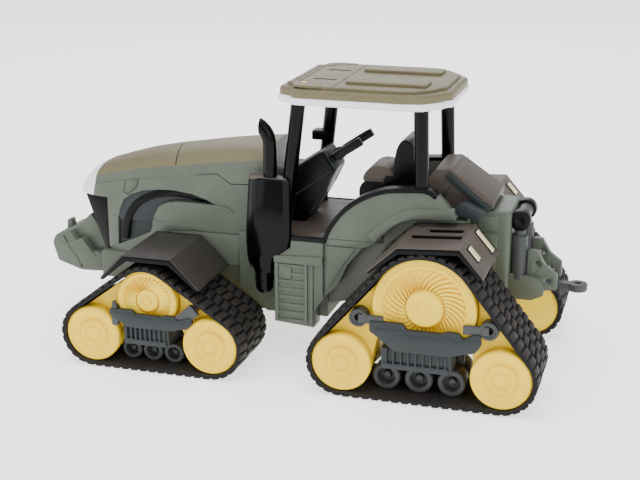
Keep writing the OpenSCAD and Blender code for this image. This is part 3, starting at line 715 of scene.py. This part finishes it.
# outlines of the side intake as (x, z): upper edge, front corner, lower edge
intakeTop = [(136, 86), (135, 93), (131, 101), (124, 106), (115, 109.4), (103, 111.4), (90, 112),
             (76, 110.6), (66, 107.8), (58, 104.6)]
lowIntake = [(136, 90), (137, 67), (130, 70), (120, 74.6), (110, 79.4), (108, 84), (108, 90)]
intakeLow = [(66, 104.2), (78, 104.2), (89, 103.8), (97, 102.2), (102.6, 98.8), (106, 93.4), (108, 86)]


def hoodRing(x, half, sill, crease, crown):
    left = [(half * w, sill + (crease - sill) * h) for w, h in hoodSide]
    left += [(half * w, crease + (crown - crease) * h) for w, h in hoodTop]
    return [(x, y, z) for y, z in left] + [(x, -y, z) for y, z in left[-2::-1]]


def hoodShell():
    shell = skin([hoodRing(*ring) for ring in hoodRings])
    bmesh.ops.recalc_face_normals(shell, faces=shell.faces)
    return shell


def cutAt(bm, point, normal):
    # keeps the side of the plane that the normal points away from, and closes it
    cut = bmesh.ops.bisect_plane(bm, geom=bm.verts[:] + bm.edges[:] + bm.faces[:],
                                 plane_co=Vector(point) * mm, plane_no=Vector(normal),
                                 clear_outer=True)["geom_cut"]
    bmesh.ops.edgeloop_fill(bm, edges=[e for e in cut if isinstance(e, bmesh.types.BMEdge)])
    bmesh.ops.recalc_face_normals(bm, faces=bm.faces)


def creaseAt(x):
    for a, b in zip(hoodRings, hoodRings[1:]):
        if a[0] <= x <= b[0]:
            return a[3] + (b[3] - a[3]) * (x - a[0]) / (b[0] - a[0])
    return hoodRings[0][3]


def topIsOlive(bm, reach):
    # the crowned top, but not the narrow ledge under its crease
    for face in bm.faces:
        middle = face.calc_center_median() / mm
        if face.normal.z > 0.3 and middle.x > reach and middle.z > creaseAt(middle.x):
            face.material_index = 1


shell = hoodShell()
cutAt(shell, (157, 0, 101), (21, 0, 4))
topIsOlive(shell, 20)
# openings for the intake, the side lamp and the nose, and fine panel lines
cutters = bmesh.new()
for side in (1, -1):
    slab(cutters, intakeTop + intakeLow, side * 26.5, side * 42)
    slab(cutters, strip([(20, 122.4), (46.5, 120.4), (57, 126.6), (92, 122.4)], -0.3, 0.3), side * 32,
         side * 42)
    slab(cutters, rounded([(117.5, 118), (129, 117), (131.5, 106.5), (127, 104.6), (119.5, 110.6)], 1.4),
         side * 27.6, side * 42)
    slab(cutters, strip([(44, 100), (50, 104.2), (62, 105)], -0.25, 0.25), side * 34, side * 42)
slab(cutters, [(145, 80), (145, 101), (172, 101), (172, 80)], -42, 42)
deck(cutters, strip([(88, -34), (96, 0), (88, 34)], -0.35, 0.35), 130, 150)
shell = carve(shell, cutters)
bmesh.ops.remove_doubles(shell, verts=shell.verts, dist=0.002 * mm)
piece("hoodPanel", "root", shell, [greenPlastic, olivePlastic], ["hood"], crease=30)

nose = hoodShell()
cutAt(nose, (157.3, 0, 101), (-21, 0, -4))
noseCut = bmesh.new()
slab(noseCut, [(148.6, 80), (148.6, 101.2), (172, 101.2), (172, 80)], -42, 42)
nose = carve(nose, noseCut)
piece("noseCap", "root", nose, [whitePaint], ["nose_cap"], crease=40)

# intake panels under their arch, the lamp covers, the louvres and the cheeks beside them
grille = bmesh.new()
for side in (1, -1):
    slab(grille, intakeTop + intakeLow, side * 25, side * 27.2, material=1)
    slab(grille, lowIntake, side * 22, side * 25.6, material=1)
    arch = smoothLine([(131, 72), (129.6, 82), (126, 92), (119, 100), (108, 105.6), (94, 108.4), (80, 108),
                       (67, 104.8)], 3)
    slab(grille, strip(arch, -2.2, 3), side * 25.4, side * 28.4, rounding=0.4)
    slab(grille, rounded([(119, 116.6), (127.6, 115.6), (129.6, 107.4), (126.6, 106.6), (120.6, 111.4)], 1),
         side * 26, side * 28.4, material=2, rounding=0.4)
for k in range(8):
    z = 67 + k * 4.2
    x = 150 + (z - 63) * 0.393
    block(grille, (x - 2.4, -15.8, z), (x, 15.8, z + 1.5), material=1, rounding=0.35)
slab(grille, rounded([(144, 66), (147.8, 63), (162.9, 101.4), (144, 101.4)], 1), -16, 16, rounding=0.5)
for side in (1, -1):
    cheek = [[(144.6, 15.4, z), (144.6, 25.6, z), (x, 25.6 - (x - 145) * 0.25, z), (x, 15.4, z)]
             for x, z in ((149.6, 63), (164.8, 101.4))]
    addPart(grille, skin([[(x, side * y, z) for x, y, z in ring] for ring in cheek]), rounding=0.5)
piece("grilleLook", "root", grille, [blackPlastic, slatePlastic, greenPlastic], ["grille_insert"])
print("hood built")


# ---- front bracket, chassis and axle

# the bracket's snout, the web behind it, the tow hook and the raised flanks
bracket = bmesh.new()
slab(bracket, rounded([(150, 42), (172, 41), (191, 47), (195, 61), (192, 67), (181, 71.4), (173, 62),
                       (165, 56.5), (150, 56)], 1.6), -20, 20, rounding=0.8)
slab(bracket, rounded([(150, 60), (157, 55), (168, 57), (180, 70), (165, 84), (152, 62)], 1.2), -14, 14,
     rounding=0.8)
slab(bracket, rounded([(185.6, 66), (191.6, 65), (190.6, 74), (187, 75)], 1.2), -3, 3, rounding=0.7)
slab(bracket, rounded([(153, 45), (170, 45), (186, 49), (188, 60), (170, 66), (160, 53), (153, 57)], 1.5),
     -20.7, 20.7, rounding=0.5)
for side in (1, -1):
    slab(bracket, strip(smoothLine([(186, 67), (181, 58), (176, 52), (172, 43)], 4), -0.7, 0.7), side * 20,
         side * 21.2, rounding=0.4)
piece("frontBracketLook", "root", bracket, [greenPlastic], ["front_bracket"])

stepBox = {"front": 10.4, "back": -24, "face": 50.6, "proud": 52, "low": 28, "high": 89, "pitch": 6.1}
# frame beam, the flanks under the hood, then the middle and the rear body
body = bmesh.new()
slab(body, rounded([(-118, 42), (150, 42), (150, 62), (-118, 62)], 2), -30, 30, rounding=1)
flank = [(40, 34.8), (84, 33.4), (104, 31.8), (122, 30), (138, 27.8), (147.5, 25.4)]
lower = bmesh.new()
deck(lower, flank + [(x, -y) for x, y in flank[::-1]], 62, 88.4)
lowCut = bmesh.new()
slab(lowCut, [(139, 60), (152, 60), (152, 90), (145, 90), (145, 64)], -42, 42)
for side in (1, -1):
    slab(lowCut, lowIntake, side * 24.8, side * 42)
    slab(lowCut, strip([(96, 60), (94, 82), (76, 84), (40, 84.6)], -0.25, 0.25), side * 30, side * 42)
addPart(body, carve(lower, lowCut), rounding=0.4)
slab(body, [(-24, 32), (20, 32), (40, 44), (40, 88), (22, 88), (22, 89), (-24, 89)], -38, 38, rounding=0.9)
slab(body, [(-118, 50), (-60, 50), (-24, 42), (-24, 89), (-62, 89), (-62, 109), (-118, 109)], -38, 38,
     rounding=1.2)
for side in (1, -1):
    s = stepBox
    front, back, high = s["front"], s["back"], s["high"]
    slab(body, rounded([(-18, s["low"]), (8, s["low"] + 2), (front, s["low"] + 6), (front, high),
                        (back, high), (back, 50), (-18, 40)], 0.8), side * 37, side * s["face"],
         rounding=0.5)
    # upright frame strips with slats between them, then the lid and its latch
    for x1, x2 in ((7.4, 10), (-13.4, -10.8), (-17.4, -15.2)):
        block(body, (x1, side * 49, 30.5), (x2, side * s["proud"], 73), rounding=0.5)
    for k in range(8):
        z = 30.6 + k * s["pitch"] * 0.92
        block(body, (-11, side * 49, z), (7.6, side * 51.5, z + 2.4), rounding=0.45)
    slab(body, rounded([(back, 73), (front, 73), (front, 78), (back, 79.5)], 0.8), side * 49,
         side * s["proud"], rounding=0.6)
    block(body, (-2, side * 49, 62), (7, side * 51.9, 71), rounding=0.5)
    # flare in front of the rear track, with a ledge over it
    slab(body, rounded([(-40, 74), (-34, 60), (-24, 50), (-23, 89), (-52, 89)], 1.5), side * 37, side * 48,
         rounding=1)
    slab(body, rounded([(-28, 58), (-25.5, 55), (-25, 87), (-46, 87), (-38, 75)], 1.5), side * 47,
         side * 48.8, rounding=0.6)
    slab(body, rounded([(-52, 88), (-23.8, 88), (-23.8, 92), (-60, 92)], 0.4), side * 37, side * 49.2,
         rounding=0.3)
    # rear axle stub with its collar, and bolt heads on the flank
    bar(body, (-102, side * 36, 65), (-102, side * 83, 65), 5)
    bar(body, (-102, side * 36, 65), (-102, side * 41, 65), 9, 8, rounding=0.5)
    for x, z in ((-84, 98), (-84, 60), (-112, 98)):
        bar(body, (x, side * 37.6, z), (x, side * 38.9, z), 1.8, 1.5, sideCount=6, rounding=0.2)
piece("bodyShell", "root", body, [greenPlastic], ["chassis"])

axle = bmesh.new()
block(axle, (78.3, -38, 35), (96.3, 38, 42), rounding=0.8)
for side in (1, -1):
    slab(axle, rounded([(78.3, 35), (96.3, 35), (96.3, 56), (93.3, 61), (81.3, 61), (78.3, 56)], 1.5),
         side * 30.3, side * 38, rounding=0.7)
    bar(axle, (87.3, side * 37, 50.5), (87.3, side * 83, 50.5), 5)
    bar(axle, (87.3, side * 37.6, 50.5), (87.3, side * 41, 50.5), 8.5, 7.5, rounding=0.5)
piece("frontAxleLook", "root", axle, [greenPlastic], ["front_axle"])
print("chassis built")


# ---- exhaust

pipeSizes = {"x": 14, "y": 46.2, "radius": 4.6, "from": 130.5, "bend": 15.2, "bendFrom": 153, "cutAt": 20.6}
tailX = 19.2
pipe = bmesh.new()
stackY = pipeSizes["y"]
# z, rear x, front x, near y, inner y, rear x of the inner side
mufflerRings = [(61.8, 17, 25, 49.6, 42, 17), (62.4, 14, 28, 51.4, 39.8, 14),
                (65, 12.2, 30.4, 52.6, 38.6, 12.2), (70, 11.4, 32, 53.2, 38.2, 11.4),
                (75, 11, 32.6, 53.6, 38.2, 11), (84, -1.4, 33, 54, 38.2, 10.6),
                (92, -2, 33, 54, 38.2, 10.4), (130, -1.6, 30.4, 54, 38.2, 9),
                (131, -0.8, 29.6, 53.3, 38.9, 9.4)]
muffler = []
for z, rear, front, near, inner, innerRear in mufflerRings:
    outline = [(rear, near - 5), (rear + 0.4, near - 1.9), (rear + 9, near), (front - 13, near),
               (front - 4, near - 3), (front, near - 9), (front - 1, inner), (innerRear, inner)]
    muffler.append([(x, y, z) for x, y in rounded(outline, 4.6, 5)])
addPart(pipe, skin(muffler))
# tail under the muffler, and the plate on top of it
bar(pipe, (tailX, stackY, 52.6), (tailX, stackY, 66), 6.3, sideCount=40)
bar(pipe, (tailX, stackY, 58.6), (tailX, stackY, 59.4), 6.55, sideCount=40, rounding=0.2)
bar(pipe, (tailX, stackY, 49.2), (tailX, stackY, 52.8), 4.2, 6.3, sideCount=40, rounding=0.8, segments=3)
deck(pipe, rounded([(1, 50), (1, 52), (28, 52), (28, 40.4), (10.6, 40.4)], 3.4, 6), 130, 131.4, material=1,
     rounding=0.4)
# open pipe, bent at its top and cut off flat
stack = bmesh.new()
stackFoot = Matrix.Translation(Vector((pipeSizes["x"], stackY, pipeSizes["from"])) * mm)
foot = bmesh.ops.create_circle(stack, cap_ends=False, segments=40, radius=pipeSizes["radius"] * mm,
                               matrix=stackFoot)["verts"]
raised = bmesh.ops.extrude_edge_only(stack, edges=list({e for v in foot for e in v.link_edges}))["geom"]
upper = [v for v in raised if isinstance(v, bmesh.types.BMVert)]
bmesh.ops.translate(stack, vec=(0, 0, (pipeSizes["bendFrom"] - pipeSizes["from"]) * mm), verts=upper)
rim = [e for e in raised if isinstance(e, bmesh.types.BMEdge)]
bmesh.ops.spin(stack, geom=upper + rim, axis=(0, 1, 0), angle=radians(80), steps=22,
               cent=Vector((pipeSizes["x"] + pipeSizes["bend"], stackY, pipeSizes["bendFrom"])) * mm)
bmesh.ops.bisect_plane(stack, geom=stack.verts[:] + stack.edges[:] + stack.faces[:],
                       plane_co=Vector((pipeSizes["cutAt"], stackY, 165)) * mm, plane_no=(1, 0, 0.05),
                       clear_outer=True)
bmesh.ops.remove_doubles(stack, verts=stack.verts, dist=0.002 * mm)
bmesh.ops.recalc_face_normals(stack, faces=stack.faces)
bmesh.ops.solidify(stack, geom=stack.faces[:], thickness=0.9 * mm)
addPart(pipe, stack)
piece("exhaustLook", "root", pipe, [blackPlastic, taupePlastic], ["exhaust"], crease=40)
print("exhaust built")


# ---- cab

archLine = [(-24, 92), (-27, 99.5), (-36, 112), (-48, 121.5), (-63, 128.2), (-80, 130.6), (-95, 130.4),
            (-105, 122), (-113, 112)]
archLow = [(-106, 110.5), (-96, 110.8), (-86, 110.2), (-76, 107), (-68, 100.6), (-60, 92)]
# plate between the flanks, and a ledge with an edge trim over each step box
floor = bmesh.new()
deck(floor, [(-62, -37.5), (22, -37.5), (22, 37.5), (-62, 37.5)], 89, 92, rounding=0.4)
for side in (1, -1):
    deck(floor, [(-24, side * 37), (10.4, side * 37), (10.4, side * 49), (-24, side * 49)], 89, 92,
         rounding=0.4)
    deck(floor, [(-26, side * 48.6), (10.4, side * 48.6), (10.4, side * 50.6), (-26, side * 50.6)], 88.8,
         92.6, material=1, rounding=0.6)
piece("cabFloorLook", "root", floor, [taupePlastic, matteBlack], ["cab_floor"])

# green arch, black band along its edge and the lower flare
arches = bmesh.new()
for side in (1, -1):
    outer = smoothLine(archLine, 4)
    inner = smoothLine(archLow, 4)
    slab(arches, outer + inner, side * 39.5, side * 49.4, rounding=0.9)
    slab(arches, strip(outer[:-6], 0.4, -2.6), side * 39.2, side * 50.4, material=1, rounding=1)
    flare = smoothLine([(-112, 112.5), (-104, 111.6), (-94, 111.6), (-84, 110.4), (-75, 106.8),
                        (-67, 100.4), (-59, 92.4)], 4)
    slab(arches, strip(flare, 0, -7), side * 44, side * 50.6, rounding=0.8)
piece("cabArches", "root", arches, [greenPlastic, matteBlack], ["cab_sides"])

postSizes = {"radius": 4.8, "collar": 5.4, "top": 181.6}
posts = bmesh.new()
for side in (1, -1):
    for x, z, topX, collarX, collarZ in ((5.4, 92, -4.9, 5.2, 94), (-88.9, 130.5, -87.1, -88.8, 132.6)):
        start = (x, side * 44.4, z)
        bar(posts, start, (topX, side * 43, postSizes["top"]), postSizes["radius"], sideCount=40)
        bar(posts, start, (collarX, side * 44.4, collarZ), postSizes["collar"], 5, sideCount=40,
            rounding=0.3)
block(posts, (-1, -49, 138), (11, -38, 145), rounding=1)
deck(posts, rounded([(0.2, -47.8), (9.8, -47.8), (9.8, -39.2), (0.2, -39.2)], 1), 144.6, 145.3, material=1,
     rounding=0.2)
piece("cabPosts", "root", posts, [blackPlastic, taupePlastic], ["roll_frame"])

consoleSide = [(24, 92), (21, 120), (-12, 142.5), (-21, 129.5), (-14, 115), (-4, 98), (-1, 92)]
# console, the plate on its sloping face, thin edge lines and a small box on top
desk = bmesh.new()
slab(desk, rounded(consoleSide, 1.5), -14.6, 14.6, rounding=0.8)
slab(desk, rounded([(-12.6, 141.4), (-20.6, 129.9), (-21.8, 130.7), (-13.8, 142.2)], 0.3), -12.6, 12.6,
     material=1, rounding=0.3)
for side in (1, -1):
    for line in (((20.6, 120.4), (-11.4, 142.2)), ((-20.6, 129.2), (-14, 115.4)), ((20, 101), (-19.6, 130)),
                 ((-4, 98.4), (-13.6, 115))):
        (x1, z1), (x2, z2) = line
        bar(desk, (x1, side * 14.5, z1), (x2, side * 14.5, z2), 0.55, material=1, sideCount=10)
block(desk, (2, -9, 126.8), (14, 9, 131), rounding=1)
piece("consoleLook", "root", desk, [matteBlack, slatePlastic], ["console"])

wheel = {"x": -16.5, "z": 136, "lean": 34}  # place and slope of the yoke's shaft
along = Vector((-cos(radians(wheel["lean"])), 0, sin(radians(wheel["lean"]))))
up = Vector((sin(radians(wheel["lean"])), 0, cos(radians(wheel["lean"]))))
hub = Vector((wheel["x"], 0, wheel["z"]))
# shaft, boss, crossbar, and two arms with their grips
yoke = bmesh.new()
bar(yoke, hub - along * 6, hub + along * 5, 2.5, sideCount=32)
bar(yoke, hub + along * 3.4, hub + along * 8.4, 5, 4, rounding=0.6)
plank(yoke, hub + along * 6 + Vector((0, -17.5, 0)), hub + along * 6 + Vector((0, 17.5, 0)), 4.2, 6, up=up,
      rounding=0.9)
for side in (1, -1):
    offset = Vector((0, side * 15, 0))
    plank(yoke, hub + along * 5.5 + offset, hub + along * 28.8 + offset, 5, 5.8, up=up, rounding=0.7)
    plank(yoke, hub + along * 8.5 + offset + up * 2.3, hub + along * 26 + offset + up * 2.3, 3, 1.6, up=up,
          rounding=0.3)
piece("yokeLook", "yoke", yoke, [matteBlack], ["steering_yoke"])

# pedestal, base, back and two side bolsters
seat = bmesh.new()
slab(seat, rounded([(-43, 92), (-61.5, 92), (-61.5, 116), (-43, 116)], 1.5), -11, 11, rounding=1)
slab(seat, rounded([(-39.5, 111.5), (-70, 112), (-70, 124.4), (-42, 124.4), (-39, 119)], 3), -16, 16,
     rounding=2.6, segments=4)
slab(seat, rounded([(-65.5, 122), (-69, 112), (-77.5, 115), (-80, 137), (-77.5, 150.5), (-73, 155),
                    (-68, 154.4), (-64.6, 148), (-63.4, 136)], 3.4, 6), -16, 16, rounding=3.6, segments=5)
for side in (1, -1):
    slab(seat, rounded([(-56, 122), (-68, 122), (-68, 130), (-57, 129)], 2), side * 14.2, side * 17.2,
         rounding=0.9)
piece("seatShell", "root", seat, [matteBlack], ["seat_frame"], crease=40)

# the cushions on base and back, with two seams cut in
pad = bmesh.new()
slab(pad, rounded([(-41.6, 124), (-64, 124), (-64, 130), (-59.5, 135), (-51.5, 136), (-45.6, 133.6),
                   (-41.8, 128.5)], 3, 5), -15, 15, rounding=3.4, segments=5)
slab(pad, rounded([(-62.6, 127), (-66, 127), (-66.4, 146), (-63.2, 144), (-62.2, 136)], 1.6), -11, 11,
     rounding=1.2, segments=3)
seam = bmesh.new()
for y in (-7.6, 7.6):
    slab(seam, [(-40, 137), (-62, 137), (-62, 134), (-57.5, 135.5), (-51, 135.4), (-45, 132.6), (-40, 127)],
         y - 0.3, y + 0.3)
pad = carve(pad, seam)
seatLook = piece("seatPadLook", "root", pad, [seatPad], ["seat_cushion"], crease=40)
print("cab built")


# ---- roof

# half the roof's outline as (x, y), front to rear
roofHalf = [(11, 38), (8, 42), (2, 43.5), (-2, 51), (-8, 52), (-78, 52), (-89, 50), (-96, 43), (-100, 38),
            (-101, 33), (-105, 30)]


def roofOutline(inset, corner):
    left = [(x - inset if x > -40 else x + inset, y - inset) for x, y in roofHalf]
    return rounded(left + [(x, -y) for x, y in left[::-1]], corner, 3)


trim = bmesh.new()
deck(trim, roofOutline(0, 1.6), 181.5, 186.2, rounding=1.3, segments=3)
piece("roofTrimLook", "root", trim, [whitePaint], ["roof_trim"], crease=40)

roof = bmesh.new()
deck(roof, roofOutline(0.9, 2), 184, 191.6, rounding=2.4, segments=4)
deck(roof, roofOutline(5.5, 3), 190.6, 193.6, rounding=1.2, segments=3)
cutters = bmesh.new()
for x in (-1.5, 1.6):
    block(cutters, (x - 0.4, -31, 192.7), (x + 0.4, 31, 197))
block(cutters, (-29, -46, 193), (-28.4, 46, 197))
for side in (1, -1):
    deck(cutters, rounded([(-8, side * 16), (-24, side * 16), (-24, side * 20), (-8, side * 20)], 1.2),
         192.3, 197)
roof = carve(roof, cutters)
for side in (1, -1):
    y1, y2 = sorted((side * 15, side * 33))
    rib = [(-31, y1), (-88, y1), (-88, y2), (-34, y2)]
    deck(roof, rounded(rib, 2.5), 192.6, 195.7, rounding=1.3, segments=3)
    deck(roof, rounded([(6.5, side * 33), (0, side * 36), (-1, side * 44), (-7, side * 47),
                        (-22, side * 47), (-22, side * 44), (-10, side * 42), (-6, side * 33)], 1.5), 192.4,
         193.9, rounding=0.5)
bar(roof, (-6, 34, 192.6), (-6, 34, 194), 2.2, 1.9, material=1, rounding=0.3)
piece("roofPanel", "root", roof, [olivePlastic, yellowPlastic], ["roof"], crease=36)
print("roof built")


# ---- rear box, hitch and drawbar

# sloping box with a raised band, and on each side a blade, a bracket and a latch
rearBox = bmesh.new()
slab(rearBox, rounded([(-96, 109), (-92, 118), (-88, 131), (-93, 138), (-103, 139), (-133, 119),
                       (-133, 114), (-118, 114), (-118, 109)], 1.4), -23, 23, rounding=1)
slab(rearBox, rounded([(-104.5, 137.2), (-108, 136.2), (-96, 117), (-93.4, 120.5)], 1), -23.8, 23.8,
     rounding=0.5)
blade = smoothLine([(-102, 136.4), (-112, 128), (-122, 120), (-131, 114)], 3)
for side in (1, -1):
    slab(rearBox, strip(blade, -2.8, 1.8), side * 22.8, side * 25.2, material=1, rounding=0.5)
    slab(rearBox, rounded([(-105, 112.6), (-112.5, 120.4), (-116, 120.6), (-130, 114.4), (-126, 110.4)], 1),
         side * 29, side * 39, material=1, rounding=0.7)
    block(rearBox, (-101.5, side * 22.6, 121), (-99.5, side * 24.2, 125), material=1, rounding=0.3)
piece("rearBoxLook", "root", rearBox, [taupePlastic, slatePlastic], ["rear_housing"])

# housing, its two cheeks and the plate between them
hitch = bmesh.new()
deck(hitch, rounded([(-117, -22), (-145, -22), (-145, 22), (-117, 22)], 5, 5), 52, 112.6, rounding=1.6,
     segments=3)
cheekLine = rounded([(-143, 52), (-160, 52), (-168, 56), (-168, 61), (-164, 68), (-143, 70)], 1.5)
for side in (-1, 1):
    slab(hitch, cheekLine, side * 9, side * 20, rounding=0.8)
slab(hitch, rounded([(-143, 61.2), (-168, 61.2), (-164, 68), (-143, 70)], 1), -10, 10, rounding=0.5)
for side in (1, -1):
    # side plate with two holes, then raised pads and a low rib on the housing
    plate = bmesh.new()
    slab(plate, rounded([(-156, 66), (-156, 86), (-162, 86), (-168, 76), (-176, 70), (-176, 60),
                         (-164, 58)], 1.2), side * 12, side * 17)
    hole = bmesh.new()
    for x, z in ((-163, 77), (-170, 66)):
        bar(hole, (x, side * 10, z), (x, side * 19, z), 2.3)
    plate = carve(plate, hole)
    addPart(hitch, plate, rounding=0.4)
    for z in (60, 76, 92, 104):
        block(hitch, (-136, side * 21, z - 5), (-122, side * 22.7, z + 5), rounding=0.5)
    slab(hitch, rounded([(-118, 56), (-136, 58), (-140, 66), (-118, 68)], 2), side * 21, side * 24.6,
         rounding=0.8)
piece("hitchLook", "root", hitch, [greenPlastic], ["hitch_housing"], crease=40)

ramSizes = {"x": -150, "y": 15, "low": 66, "high": 96, "barrel": 5.4, "rod": 3.6, "topZ": 106, "shaft": 5}
s = ramSizes
rams = bmesh.new()
for side in (1, -1):
    y = side * s["y"]
    bar(rams, (s["x"], y, s["low"]), (s["x"], y, s["high"]), s["barrel"], sideCount=40, rounding=0.4)
    bar(rams, (s["x"], y, s["high"] - 1), (s["x"], y, 103), s["rod"], sideCount=32)
    bar(rams, (s["x"], y, 88), (s["x"], y, 90), s["barrel"] + 0.2, sideCount=40, rounding=0.4)
    turned(rams, (s["x"], s["topZ"]), side, [(0, 10.6), (6.4, 10.6), (7, 11.4), (7, 18), (6, 19), (3, 19.6),
                                             (2.6, 19), (0, 19)], steps=48, material=1, rounding=0.3)
bar(rams, (s["x"], -12, s["topZ"]), (s["x"], 12, s["topZ"]), s["shaft"], sideCount=40)
piece("ramsLook", "root", rams, [greyPlastic, matteBlack], ["lift_rams"])

tongueSizes = {"pinX": -155, "eyeX": -188.5, "low": 55.7, "high": 60.7, "half": 3.6, "boss": 6, "pin": 2.35,
               "eye": 6.5, "hole": 2.6}
s = tongueSizes
# drawbar with its pin at one end and an eye at the other
tongue = bmesh.new()
bar(tongue, (s["pinX"], 0, s["low"]), (s["pinX"], 0, s["high"]), s["boss"], sideCount=48, rounding=0.5)
bar(tongue, (s["pinX"], 0, 52.5), (s["pinX"], 0, 68), s["pin"], sideCount=32, rounding=0.3)
deck(tongue, [(s["eyeX"], -s["half"]), (s["pinX"], -s["half"]), (s["pinX"], s["half"]),
              (s["eyeX"], s["half"])], s["low"], s["high"], rounding=0.6)
bar(tongue, (s["eyeX"], 0, s["low"]), (s["eyeX"], 0, s["high"]), s["eye"], sideCount=48, rounding=0.5)
eyeHole = bmesh.new()
bar(eyeHole, (s["eyeX"], 0, 50), (s["eyeX"], 0, 66), s["hole"], sideCount=40)
tongue = carve(tongue, eyeHole)
piece("drawbarLook", "drawbar", tongue, [greyPlastic], ["drawbar"])
print("hitch built")


# ---- floor, light and camera

studio = {"floor": "#f1f0ee", "camera": (-0.24906, 0.80858, 0.34178), "aim": (-0.00688, 0, 0.07457),
          "lens": 70, "glow": 1.3}
scene = bpy.context.scene
ground = bmesh.new()
bmesh.ops.create_grid(ground, x_segments=2, y_segments=2, size=6)
floorPiece = asObject(ground, "studioFloor")
paper = bpy.data.materials.new("palePaper")
paper.use_nodes = True
# faintly lit from within, so the floor stays as pale as the backdrop
paperInputs = paper.node_tree.nodes["Principled BSDF"].inputs
paperInputs["Base Color"].default_value = linear(studio["floor"])
paperInputs["Roughness"].default_value = 0.9
paperInputs["Emission Color"].default_value = (1, 1, 1, 1)
paperInputs["Emission Strength"].default_value = studio["glow"]
floorPiece.data.materials.append(paper)

world = bpy.data.worlds.new("paleStudio")
world.use_nodes = True
world.node_tree.nodes["Background"].inputs["Color"].default_value = (0.95, 0.97, 1, 1)
world.node_tree.nodes["Background"].inputs["Strength"].default_value = 1.0
scene.world = world


def softLight(name, at, size, power, colour=(1, 1, 1)):
    lamp = bpy.data.lights.new(name, "AREA")
    lamp.size, lamp.energy, lamp.color = size, power, colour
    made = bpy.data.objects.new(name, lamp)
    made.location = at
    made.rotation_euler = (Vector((0, 0, 0.08)) - Vector(at)).to_track_quat("-Z", "Y").to_euler()
    scene.collection.objects.link(made)


softLight("overhead", (0.1, 0.3, 1.5), 1.4, 16)
softLight("nearLeft", (-1.2, 1.1, 0.9), 1.0, 9)
softLight("nearRight", (1.1, 1.0, 0.6), 0.9, 5)
softLight("behind", (0.3, -1.3, 0.9), 1.0, 7)

lens = bpy.data.cameras.new("photoCamera")
lens.lens, lens.sensor_width = studio["lens"], 36
lens.clip_start, lens.clip_end = 0.01, 50
camera = bpy.data.objects.new("photoCamera", lens)
camera.location = studio["camera"]
facing = Vector(studio["aim"]) - Vector(studio["camera"])
camera.rotation_euler = facing.to_track_quat("-Z", "Y").to_euler()
scene.collection.objects.link(camera)
scene.camera = camera
print("studio ready")
